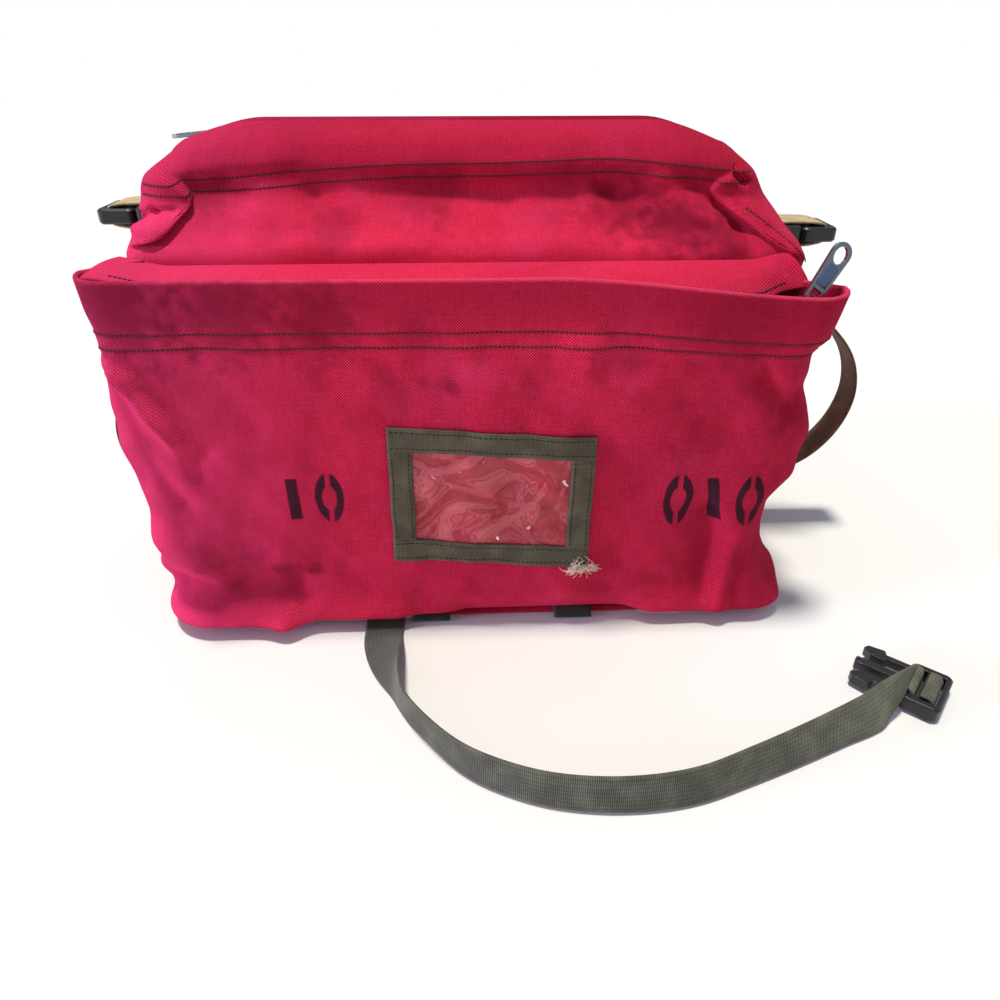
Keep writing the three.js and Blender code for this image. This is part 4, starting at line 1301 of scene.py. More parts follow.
@dataclass(frozen=True)
class MainWall(Wall):
    """The main wall: a closed tube that leans back above the pocket and closes to a mouth."""

    ears: tuple[Ear, ...] = ()
    droop_left: Span = (122.0, 202.0)
    droop_right: Span = (115.0, 185.0)
    tuck_fade: Span = (254.0, 280.0)
    crumple_from: Span = (222.0, 234.0)
    front_fade: Span = (150.0, 185.0)
    rear_run: Span = (3.5, 4.2)
    rear_foot: Span = (10.0, 40.0)
    rear_head: Span = (262.0, 285.0)
    rear_crumpled: float = 2.2
    seam_places: tuple[float, ...] = (-4.97, -3.62, -3.38, 3.38, 3.62, 4.97)
    seam_z: Span = (14.0, 262.0)
    foot_z: float = 19.0
    foot_ends: tuple[Span, ...] = ((-4.98, -2.2), (2.2, 4.98))
    hem: Span = (256.0, 262.0)
    band: Table = Table(
        ("s", "z"),
        (
            (-190, 262), (-142, 263.5), (-105, 267), (-35, 271), (22, 271.7), (81, 273.5), (120, 271),
            (150, 267.5),
        ),
    )
    band_ends: Span = (-186.0, 176.0)
    band_drops: Span = (0.0, 7.0)
    band_sag: float = 7.0
    ridge_s: Span = (171.0, 205.0)
    ridge_z: Span = (250.0, 221.0)
    runs: tuple[int, ...] = (96, 32, 44, 12, 30)
    rows: tuple[int, int] = (24, 72)
    split: float = 4.0
    reach_runs: Span = (1.5, 3.5)
    reach_rows: Span = (0.0, 7.0)
    reach_step: float = 0.025
    dense: int = 800

    def droop(self, x: Array) -> Array:
        """Gives how far the mouth hangs, 0 in the middle and 1 at its ends."""
        far = np.abs(x)
        return np.where(x < 0, ramp(*self.droop_left, far), ramp(*self.droop_right, far))

    def points(self, position: Array, row: Array) -> Array:
        """Places the outer face: section outline, folds along its normal, tucks out and over, less the droop.

        Args:
            position: Run positions round the plan.
            row: Row positions up the table.

        Returns:
            Points in millimetres.
        """
        section = self.table.section(row)
        plan = plan_outline(section, position)
        z = section["z"] + 0.0 * plan.x
        push = total(self.folds, plan.s, z) * (1 - ramp(*self.tuck_fade, z))
        crumple = total(CRUMPLE, plan.s, z)
        free = ramp(*self.crumple_from, z)
        slack = (1 - ramp(*self.front_fade, np.abs(plan.s))) * free
        push = push + total(self.creases, plan.s, z) * free
        push = push + crumple * slack
        rear = ramp(*self.rear_run, np.abs(position)) * ramp(*self.rear_foot, z)
        rear = rear * (1 - ramp(*self.rear_head, z))
        push = push + self.rear_crumpled * crumple * rear
        over = 0.0
        down = 0.0
        for ear in self.ears:
            amount = ear.amount(plan.s, z)
            push = push + ear.out * amount
            over = over + ear.side.value * ear.over * amount
            down = down + ear.down * amount
        x = plan.x + plan.nx * push + plan.ny * over
        y = plan.y + plan.ny * push - plan.nx * over
        return np.stack([x, y, z - section["droop"] * self.droop(plan.x) - down], -1)

    def seam_path(self, place: float, count: int = 500) -> tuple[Array, Array]:
        """Follows an upright seam."""
        rows = self.table.row_at("z", np.linspace(*self.seam_z, count))
        return self.frame_at(np.full(count, place), rows)

    def band_path(self, drop: float, count: int = 900) -> tuple[Array, Array]:
        """Follows a stitch row of the band, given by heights along the wall.

        Args:
            drop: Distance below the upper row.
            count: Points on the path.

        Returns:
            Points and normals along the path.
        """
        s = np.linspace(*self.band_ends, count)
        z = self.band.read("z", self.band.row_at("s", s)) - drop
        return self.along(s, z + self.band_sag * self.droop(s))

    def along(self, s: Array, z: Array) -> tuple[Array, Array]:
        """Follows the front and its corners.

        Args:
            s: Distances along the wall.
            z: Heights in the table.

        Returns:
            Points and normals.
        """
        row = self.table.row_at("z", z)
        section = self.table.section(row)
        flat = self.flat_half(section, s)
        far = np.abs(s)
        run = np.where(far <= flat, far / flat, 1 + (far - flat) / (section["corner"] * QUARTER))
        return self.frame_at(np.sign(s) * run, row)

    def side_reach(self, side: Side, y: float, z: float) -> float:
        """Finds the wall's side nearest to a place.

        Args:
            side: Side of the pack.
            y: Distance from front to back.
            z: Height.

        Returns:
            Distance of the face out from the middle.
        """
        runs = np.arange(*self.reach_runs, self.reach_step)
        rows = np.arange(*self.reach_rows, self.reach_step)
        position, row = np.meshgrid(runs, rows, indexing="ij")
        points = self.points(side.value * position, row).reshape(-1, 3)
        away = np.hypot(points[:, 1] - y, points[:, 2] - z)
        return float(side.value * points[np.argmin(away), 0])

    def build(self) -> bpy.types.Object:
        """Builds the wall as one closed cloth tube.

        Returns:
            The object.
        """
        positions = run_places(self.runs)
        low, high = self.rows
        last = len(self.table.rows) - 1
        lower = np.linspace(0, self.split, low, endpoint=False)
        rows = np.concatenate([lower, np.linspace(self.split, last, high)])
        grid = self.points(positions[:, None], rows[None])
        thick = self.thickness(ramp(*self.hem, grid[..., 2]))
        plan = plan_outline(self.table.section(rows[None]), positions[:, None])
        uv = np.stack([plan.s, self.climb(rows)[None] + 0 * plan.s], -1)
        return cloth_shell("canvas_main", grid[:-1], thick[:-1], uv, True)

    def climb(self, row: Array) -> Array:
        """Gives the distance walked up the middle of the front."""
        dense = np.linspace(0, len(self.table.rows) - 1, self.dense)
        return np.interp(row, dense, walk(self.points(np.zeros(self.dense), dense)))


@dataclass(frozen=True)
class PocketWall(Wall):
    """The front pocket's wall, which wraps round three sides of the pack."""

    droop_from: float = 40.0
    droop_to: float = 205.0
    seam_fade: Span = (2.2, 3.0)
    slack_foot: Span = (8.0, 26.0)
    slack_head: Span = (190.0, 216.0)
    hem_top: float = 226.0
    hem_depth: float = 26.0
    hem_droop: float = 13.0
    hem_rows: tuple[float, ...] = (199.0, 191.0)
    hem_ends: Span = (-2.6, 2.6)
    hem_edge: Span = (185.0, 189.0)
    hem_step: float = 0.5
    crumpled: float = 1.7
    runs: tuple[int, ...] = (112, 14, 14)
    rows: int = 118

    def droop(self, x: Array) -> Array:
        """Gives how far the hem hangs, 0 on the left and 1 at the right end."""
        return ramp(self.droop_from, self.droop_to, x)

    def points(self, position: Array, row: Array) -> Array:
        """Places the outer face: section outline and folds along its normal, less the droop.

        Args:
            position: Run positions round the plan.
            row: Row positions up the table.

        Returns:
            Points in millimetres.
        """
        section = self.table.section(row)
        plan = plan_outline(section, position)
        z = section["z"] + 0.0 * plan.x
        slack = ramp(*self.slack_foot, z) * (1 - ramp(*self.slack_head, z))
        push = total(self.folds, plan.s, z) + total(self.creases, plan.s, z)
        push = push + total(CRUMPLE, plan.s, z) * slack * self.crumpled
        push = push + self.hem_step * ramp(*self.hem_edge, z)
        push = push * (1 - ramp(*self.seam_fade, np.abs(position)))
        x = plan.x + plan.nx * push
        y = plan.y + plan.ny * push
        return np.stack([x, y, z - section["droop"] * self.droop(plan.x)], -1)

    def front(self, x: Array, z: Array) -> tuple[Array, Array]:
        """Places points on the front face."""
        row = self.table.row_at("z", z)
        return self.frame_at(x / self.flat_half(self.table.section(row), x), row)

    def build(self) -> bpy.types.Object:
        """Builds the wall as an open cloth sheet.

        Returns:
            The object.
        """
        positions = run_places(self.runs)
        rows = np.linspace(0, len(self.table.rows) - 1, self.rows)
        grid = self.points(positions[:, None], rows[None])
        from_z = self.hem_top - self.hem_depth - self.hem_droop
        thick = self.thickness(ramp(from_z, from_z + self.hem_droop, grid[..., 2]))
        section = self.table.section(rows[None])
        plan = plan_outline(section, positions[:, None])
        uv = np.stack([plan.s, section["z"] + 0 * plan.s], -1)
        return cloth_shell("canvas_pocket", grid, thick, uv, False)


MAIN = MainWall(
    table=Table(
        ("z", "left", "right", "front", "back", "corner", "back_corner", "droop"),
        (
            (2.3, -184, 184, -46, 86, 14, 24, 0),
            (14, -196, 196, -50, 98, 14, 26, 0),
            (90, -197, 197, -50, 101, 14, 28, 0),
            (170, -197, 198, -50, 100, 14, 28, 0),
            (223, -196, 199, -50, 92, 15, 26, 0),
            (240, -193, 189, -33, 84, 20, 24, 0),
            (258, -185, 180, -17, 75, 22, 22, 3),
            (270, -180, 175, -17.5, 66, 22, 20, 7),
            (280, -174, 170, -12.5, 57, 20, 18, 10),
            (288, -170, 165, -2.5, 49, 16, 16, 14),
            (292, -165, 160, 9, 40, 12, 12, 18),
            (288, -157, 152, 16, 33, 7, 7, 24),
        ),
    ),
    folds=(
        Fold(5, 255, 90, 231, 14, -4),
        Fold(-110, 251, -60, 247, 12, 3),
        Fold(-266, 180, -237, 248, 35, -39, 4),
        Fold(270, 176, 250, 238, 31, -32, 4),
    ),
    creases=(
        Fold(-140, 262, -96, 268, 5, -1.6),
        Fold(-120, 244, -80, 238, 8, 1.2),
        Fold(-30, 262, 40, 258, 10, -1.2),
        Fold(-172, 251.5, -182, 250.5, 2.4, -4.0),
        Fold(-182, 250.5, -194, 246, 2.6, -6.5),
        Fold(-194, 246, -200, 241, 2.6, -5.0),
        Fold(-178, 243, -196, 239, 5, 3.5),
        Fold(-208, 264, -208, 247, 9, 5.0),
        Fold(-200, 226, -212, 216, 9, 4.0),
        Fold(-84, 250, -62, 240, 10, -4.5),
        Fold(-95, 233, -25, 233, 8, 3.0),
        Fold(206, 222, 214, 214, 8, -5.0),
        Fold(172, 253, 207, 219, 2.6, 2.0),
        Fold(168, 251, 203, 218, 1.8, -1.5),
        Fold(164, 249, 199, 217, 2.4, 1.2),
        Fold(150, 249, 161, 237, 5, -5.0),
        Fold(161, 237, 176, 220, 5, -5.0),
        Fold(166, 273, 172, 266, 3, -7.0),
        Fold(118, 260, 160, 232, 7, 4.5),
        Fold(90, 253, 134, 224, 9, -5.0),
        Fold(20, 262, 62, 236, 12, 2.5),
    ),
    ears=(
        Ear(Side.LEFT, 9, 8, 2, Table(
            ("z", "s"),
            ((230, 202), (233, 187), (238, 174), (246, 167), (255, 160), (264, 164), (275, 173), (290, 185)),
        ), clear=((178.0, 196.0), (236.0, 247.0))),
        Ear(Side.RIGHT, 5, 6, 1, Table(
            ("z", "s"),
            ((219, 203), (227, 191), (235, 178), (247, 162), (258, 151), (264, 154), (271, 162), (290, 175)),
        )),
    ),
)

MAIN_NODES = ("main_wall", "main_side_left", "main_side_right", "main_back")

POCKET = PocketWall(
    table=Table(
        ("z", "left", "right", "front", "corner", "droop"),
        (
            (4.2, -181, 196, -93, 20, 0),
            (12, -191, 209, -103, 24, 0),
            (32, -197, 204, -102, 24, 0),
            (58, -198, 191, -100, 24, 0),
            (80, -200, 191, -100, 24, 0),
            (103, -204, 205, -100, 24, 1),
            (134, -207, 208, -100, 24, 3),
            (163, -206, 202, -100, 24, 6),
            (186, -204, 202, -100, 24, 9),
            (200, -204, 209, -100, 24, 11),
            (226, -205, 214, -101, 24, 13),
        ),
    ),
    folds=(
        Fold(10, 120, 20, 100, 120, 4),
        Fold(-195, 188, -163, 139, 9, 5),
        Fold(-204, 166, -182, 134, 10, -5),
        Fold(-163, 138, -160, 115, 8, -4),
        Fold(-186, 121, -172, 95, 9, -3),
        Fold(-188, 70, -158, 48, 14, 5),
        Fold(-198, 33, -110, 30, 9, -7),
        Fold(-110, 30, -48, 41, 10, -3),
        Fold(-206, 9, -120, 9, 12, 11),
        Fold(-120, 9, -50, 9, 11, 5),
        Fold(0, 10, 100, 10, 12, -5),
        Fold(167, 61, 161, 16, 7, 5),
        Fold(148, 79, 152, 30, 9, -5),
        Fold(168, 174, 188, 152, 9, -7),
        Fold(120, 8, 200, 8, 16, 6),
        Fold(-9, 168, -9, 167, 14, -3),
        Fold(66, 179, 87, 162, 14, 3),
    ),
    creases=(
        Fold(-188, 180, -167, 138, 6, 4.0),
        Fold(-167, 138, -163, 112, 6, 3.0),
        Fold(-174, 170, -152, 128, 6, -3.4),
        Fold(-152, 150, -132, 124, 10, 2.4),
        Fold(-190, 66, -174, 52, 10, 3.0),
        Fold(-160, 64, -148, 40, 6, -2.4),
        Fold(198, 162, 184, 140, 7, -2.6),
        Fold(118, 34, 150, 24, 8, -2.0),
        Fold(10, 178, 62, 182, 13, 2.0),
        Fold(-44, 184, -8, 176, 11, -1.8),
        Fold(-206, 193, -196, 186, 9, -5.0),
        Fold(-208, 142, -196, 108, 14, -3.0),
        Fold(-208, 38, -196, 36, 9, 5.0),
        Fold(-184, 122, -171, 96, 4.5, -1.4),
        Fold(-182, 66, -161, 46, 6, 1.4),
        Fold(-192, 40, -150, 36, 4.5, -1.4),
        Fold(-150, 34, -95, 38, 5, -1.2),
        Fold(60, 24, 130, 28, 7, 1.2),
        Fold(172, 66, 184, 22, 8, 1.6),
        Fold(150, 80, 140, 30, 9, -1.8),
        Fold(140, 60, 143, 25, 5, 1.0),
        Fold(170, 173, 184, 154, 4.5, -2.0),
        Fold(150, 176, 168, 150, 7, 1.2),
        Fold(66, 178, 88, 161, 7, 1.0),
        Fold(-60, 176, -45, 150, 9, 0.9),
        Fold(110, 174, 120, 150, 10, 0.9),
        Fold(-130, 174, -122, 140, 9, -0.9),
    ),
)


@dataclass(frozen=True)
class Finishes:
    """All materials of the pack."""

    pocket: bpy.types.Material
    main: bpy.types.Material
    plain: bpy.types.Material
    belt: bpy.types.Material
    tan: bpy.types.Material
    brown: bpy.types.Material
    tape: bpy.types.Material
    zip_tape: bpy.types.Material
    vinyl: bpy.types.Material
    plastic: bpy.types.Material
    metal: bpy.types.Material
    enamel: bpy.types.Material
    thread: bpy.types.Material
    tape_thread: bpy.types.Material
    fibre: bpy.types.Material

    @classmethod
    def make(cls) -> "Finishes":
        """Builds every material.

        Returns:
            The set.
        """
        kinds = {
            "pocket": Canvas(
                # Painted shade over the hem and a painted highlight along its rim. Broad spots over the hem
                # and at the lower corners are painted shade; the small ones are real stains.
                "canvas_pocket", painted_shade_from=(190.0, 220.0), shade=0.35, rim_highlight_from=225.2,
                stains_and_shade_spots=(
                    StainAndShadeSpot(-125, 208, 42, 0.5), StainAndShadeSpot(-76, 206, 32, 0.5), StainAndShadeSpot(-24, 197, 20, 0.3),
                    StainAndShadeSpot(-148, 62, 36, 0.15), StainAndShadeSpot(150, 205, 40, 0.25), StainAndShadeSpot(168, 30, 26, 0.12),
                    StainAndShadeSpot(-9, 168, 7, 0.5), StainAndShadeSpot(-24, 170, 5, 0.3), StainAndShadeSpot(-114, 46, 12, 0.45),
                    StainAndShadeSpot(-98, 45, 8, 0.5), StainAndShadeSpot(40, 175, 16, 0.16), StainAndShadeSpot(-60, 150, 18, 0.12),
                    StainAndShadeSpot(-182, 214, 52, 0.6), StainAndShadeSpot(-136, 30, 46, 0.28),
                ),
                bars=(Bar(-104, 98, 3.4, 14.5), Bar(151, 91, 3.6, 16.0, -0.2)),
                rings=(
                    Ring(-83, 98, 6.4, 12.6, 4.2, 3.0), Ring(128, 92, 7.0, 14.0, 4.4, 3.2),
                    Ring(173, 90, 6.4, 14.0, 4.2, 3.0),
                ),
                seams=POCKET.hem_rows,
            ),
            "main": Canvas(
                "canvas_main",
                # These spots are painted shade: on the right of the panel and on the crest.
                stains_and_shade_spots=(
                    StainAndShadeSpot(98, 258, 34, 0.5), StainAndShadeSpot(126, 246, 36, 0.65), StainAndShadeSpot(152, 236, 30, 0.5),
                    StainAndShadeSpot(-76, 247, 24, 0.35), StainAndShadeSpot(-150, 270, 22, 0.4), StainAndShadeSpot(-20, 268, 30, 0.35),
                    StainAndShadeSpot(60, 274, 34, 0.25),
                ),
            ),
            "plain": Canvas("canvas_plain"),
            # The belt's first 112 mm get painted shade.
            "belt": Webbing("belt_webbing", display(116, 116, 98), display(50, 50, 42), shaded_length=112.0),
            "tan": Webbing("tan_webbing", display(226, 208, 166), display(150, 128, 88)),
            "brown": Webbing("brown_webbing", display(142, 112, 76), display(72, 52, 32)),
            "tape": Webbing("window_tape", display(110, 100, 76), display(58, 52, 38), 0.8, 20.0, 0.00018),
            "zip_tape": Webbing("zip_tape", display(92, 20, 36), display(48, 8, 18), 0.7, 20.0, 0.00012),
            "vinyl": Vinyl("clear_vinyl"),
            "plastic": Plain("buckle_plastic", display(26, 25, 26), 0.38),
            "metal": Plain("zip_metal", display(150, 154, 160), 0.26, 1.0, 0.00002, 0.0004),
            "enamel": Plain("pull_enamel", display(78, 100, 128), 0.35, 0.3, 0.00002, 0.0002, 0.4),
            # The thread's own colour, darkened to also paint the shade of the groove under it.
            "thread": Thread("brown_thread", display(94, 28, 34)),
            "tape_thread": Thread("tape_thread", display(40, 37, 26)),
            "fibre": Thread("frayed_fibre", display(236, 218, 196)),
        }
        return cls(**{name: kind.material() for name, kind in kinds.items()})


@dataclass(frozen=True)
class Mouths:
    """The pocket's strip, both zip tapes with their teeth, the sliders and the pulls."""

    strip_back: float = 222.0
    strip_front: float = -82.0
    cut: Span = (160.0, 186.0)
    cut_y: float = -66.0
    crown: float = 2.0
    wave: float = 0.5
    wave_length: float = 23.0
    wave_lag: float = 0.6
    strip_ends: Span = (-203.0, 199.0)
    strip_seam: Span = (-193.0, 188.0)
    strip_grid: tuple[int, int] = (260, 26)
    strip_flat: Span = (0.374, 0.035)
    lift_from: Span = (165.0, 200.0)
    lift: float = 6.0
    seam_at: float = 0.14
    seam_ends: Span = (0.03, 0.97)
    seam_step: float = 0.05
    above_tape: float = 2.6
    below_hem: float = 11.0
    tape_width: float = 18.0
    tape_thick: float = 1.2
    tape_y: float = -88.0
    tape_run: Place = (-180.0, 178.0, 192.0)
    tape_turn: float = 14.0
    tape_stations: tuple[int, int] = (9, 4)
    main_run: Span = (-152.0, 147.0)
    main_stations: int = 13
    main_width: float = 20.0
    main_y: float = 24.5
    main_below: float = 3.9
    teeth: StitchSpec = StitchSpec(5.0, 0.7, 1.0, 1.0, 0.2)
    teeth_spacing: float = 1.0

    def pocket_zip(self, x: Array) -> Array:
        """Gives the height of the pocket's zip tape."""
        return POCKET.hem_top - POCKET.hem_droop * POCKET.droop(x) - self.below_hem

    def main_zip(self, x: Array) -> Array:
        """Gives the height of the main zip tape."""
        rim = MAIN.table.rows[-1]
        return rim[0] - rim[-1] * MAIN.droop(x) - self.main_below - self.tape_thick / 2

    def strip_points(self, share: Array, q: Array) -> Array:
        """Places the strip's upper face: a crowned sheet with slight waves, wider at its front edge.

        Args:
            share: Places from its left end to its right end, 0 to 1.
            q: Places from its front edge to its seam, 0 to 1.

        Returns:
            Points in millimetres.
        """
        left, right = self.strip_ends
        x0 = left + (self.strip_seam[0] - left) * q
        x1 = right + (self.strip_seam[1] - right) * q
        x = x0 + (x1 - x0) * share
        edge = self.strip_front + (self.cut_y - self.strip_front) * ramp(*self.cut, x)
        front = self.pocket_zip(x) + self.above_tape
        arch = np.sin(np.pi * q)
        wave = self.wave * np.sin(x / self.wave_length + self.wave_lag) * arch
        rise = self.lift * ramp(*self.lift_from, np.abs(x))
        z = front + (self.strip_back - front) * q + self.crown * arch + wave + rise + MAIN.cloth / 2
        return np.stack([x, edge + (SEAM_Y - edge) * q, z], -1)

    def strip(self) -> bpy.types.Object:
        """Builds the strip behind the pocket's zip.

        Returns:
            The object.
        """
        columns, rows = (np.linspace(0, 1, count) for count in self.strip_grid)
        share, q = np.meshgrid(columns, rows, indexing="ij")
        grid = self.strip_points(share, q)
        thick = np.full(share.shape, MAIN.cloth)
        return cloth_shell("canvas_strip", grid, thick, grid[..., :2], False)

    def strip_stitches(self, count: int = 400) -> tuple[Array, Array]:
        """Follows the stitches near the strip's front edge.

        Args:
            count: Points on the path.

        Returns:
            Points and normals.
        """
        share = np.linspace(*self.seam_ends, count)
        across = np.full(count, self.seam_at)
        points = self.strip_points(share, across)
        behind = self.strip_points(share, across + self.seam_step) - points
        return points, unit(np.cross(np.gradient(points, axis=0), behind))

    def pocket_route(self) -> Route:
        """Gives the pocket zip's route, straight along the front and round the right corner.

        Returns:
            The route.
        """
        left, corner, right = self.tape_run
        straight, bent = self.tape_stations
        x = np.linspace(left, corner, straight)
        heading = np.concatenate([np.zeros(straight), np.linspace(0, QUARTER, bent)[1:]])
        x = np.concatenate([x, corner + (right - corner) * np.sin(heading[straight:])])
        y = self.tape_y + self.tape_turn * (1 - np.cos(heading))
        centres = np.stack([x, y, self.pocket_zip(x)], -1)
        across = np.stack([-np.sin(heading), np.cos(heading), 0 * heading], -1)
        return Route(centres, across)

    def main_route(self) -> Route:
        """Gives the main zip's route along the mouth."""
        x = np.linspace(*self.main_run, self.main_stations)
        return Route.held(np.stack([x, np.full(len(x), self.main_y), self.main_zip(x)], -1), BACKWARD)

    def build(self, finishes: Finishes) -> None:
        """Builds and dresses the mouths.

        Args:
            finishes: Materials.
        """
        strip = dress(self.strip(), finishes.plain, Body.BAG, ("pocket_strip",))
        seam = stitch_mesh("stitches_strip", [self.strip_stitches()], StitchSpec())
        dress(seam, finishes.thread, Body.BAG)
        zips = (
            ("pocket", self.pocket_route(), self.tape_width),
            ("main", self.main_route(), self.main_width),
        )
        for name, route, width in zips:
            tape = webbing_mesh(f"zip_tape_{name}", route, width, self.tape_thick)
            dress(tape, finishes.zip_tape, Body.BAG, (f"{name}_zip_tape",))
            centres, ahead, across, along = route.even(self.teeth_spacing)
            up = unit(np.cross(ahead, across))
            up = up * np.sign(up[:, 2:])
            path = (centres + up * self.tape_thick / 2, up)
            row = stitch_mesh(f"zip_teeth_{name}", [path], self.teeth, True)
            dress(row, finishes.metal, Body.BAG)
            flat = (width * MM, float(along[-1]) * MM)
        for name in ("pocket", "main"):
            for part in ("slider", "pull"):
                set_finish(f"{name}_zip_{part}", finishes.metal)
        for inlay in PULLS:
            inlay.build(finishes)


@dataclass(frozen=True)
class PullInlay:
    """Enamel in the two sunk faces of a zip pull, placed by the pull's hinge and its own three directions."""

    name: str
    body: Body
    pivot: Place
    turns: tuple[tuple[str, float], ...]
    grid: tuple[int, int] = (8, 10)
    half: float = 3.45
    foot: float = 8.6
    head: float = 20.7
    face: float = 0.92
    thick: float = 0.28

    def build(self, finishes: Finishes) -> None:
        """Builds and dresses both inlays.

        Args:
            finishes: Materials.
        """
        turned = Matrix.Identity(3)
        for axis, angle in self.turns:
            turned = turned @ Matrix.Rotation(np.radians(angle), 3, axis)
        axes = np.array(turned)
        columns, rows = self.grid
        up = np.linspace(self.foot, self.head, rows)
        width, height = np.meshgrid(np.linspace(-1, 1, columns), up, indexing="ij")
        for side in Side:
            x = -side.value * self.half * width
            places = np.stack([x, side.value * self.face + 0 * x, height], -1)
            grid = places @ axes.T + np.array(self.pivot)
            name = f"inlay_{self.name}_{side.name.lower()}"
            plate = cloth_shell(name, grid, np.full(x.shape, self.thick), places[..., ::2], False, 2)
            dress(plate, finishes.enamel, self.body)


PULLS = (
    PullInlay("pocket", Body.POCKET_PULL, (192.18, -84.0, 209.197), (("Y", 35.0), ("X", -18.0))),
    PullInlay("main", Body.MAIN_PULL, (-141.125, 24.5, 285.831), (("Y", -95.5), ("Z", 90.0))),
)


def set_finish(node: str, material: bpy.types.Material) -> None:
    """Puts a better material in a shown CAD node's slot.

    Args:
        node: CAD node name.
        material: Material.
    """
    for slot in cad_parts[node].material_slots:
        slot.material = material
    LOG.info("%s: finish %s", node, material.name)


@dataclass(frozen=True)
class Tuft:
    """Frayed threads at the window's lower right corner: thin curled tubes from one place."""

    seed: int = 11
    fibres: int = 90
    points: int = 10
    around: int = 6
    radius: float = 0.13
    beside: Span = (-11.0, 3.0)
    below: Span = (-2.0, 2.5)
    start: float = 1.0
    headings: Span = (-2.4, 0.7)
    lengths: Span = (4.0, 10.0)
    curls: Span = (-0.32, 0.32)
    winding: float = 9.0
    outs: Span = (1.2, 3.0)
    arch: Span = (0.15, 0.75)
    upright: Place = (0.0, 1.0, 0.2)

    def build(self, lay: Callable[[Array, Array, Array], Array], corner: Span) -> bpy.types.Object:
        """Builds the threads: each turns evenly as it runs, and bows out as part of a sine.

        Args:
            lay: Places points on the window by p, q and lift.
            corner: Corner's p and q.

        Returns:
            The object.
        """
        rng = np.random.default_rng(self.seed)
        count = self.fibres
        p0 = corner[0] + rng.uniform(*self.beside, count)
        q0 = corner[1] + rng.uniform(*self.below, count)
        start = lay(p0, q0, np.full(count, self.start))
        heading = rng.uniform(*self.headings, count)
        length = rng.uniform(*self.lengths, count)
        curl = rng.uniform(*self.curls, count)
        t = np.linspace(0, 1, self.points)[None]
        angle = heading[:, None] + curl[:, None] * self.winding * t
        step = length[:, None] / self.points
        dx = np.cumsum(np.cos(angle) * step, 1)
        dz = np.cumsum(np.sin(angle) * step, 1)
        rise, run = self.arch
        out = rng.uniform(*self.outs, count)[:, None] * np.sin(np.pi * (rise + run * t))
        line = start[:, None] + np.stack([dx, -out, dz], -1)
        ahead = unit(np.gradient(line, axis=1))
        side = unit(np.cross(ahead, np.array(self.upright)))
        up = np.cross(side, ahead)
        angles = 2 * np.pi * np.arange(self.around) / self.around
        ring = np.cos(angles)[:, None] * side[:, :, None] + np.sin(angles)[:, None] * up[:, :, None]
        tubes = line[:, :, None] + self.radius * ring
        quads, _, _ = skin_quads(self.points, self.around, False)
        numbers = quads[None] + self.points * self.around * np.arange(count)[:, None, None]
        return mesh_object("frayed_tuft", tubes.reshape(-1, 3) * MM, numbers.reshape(-1, 4))


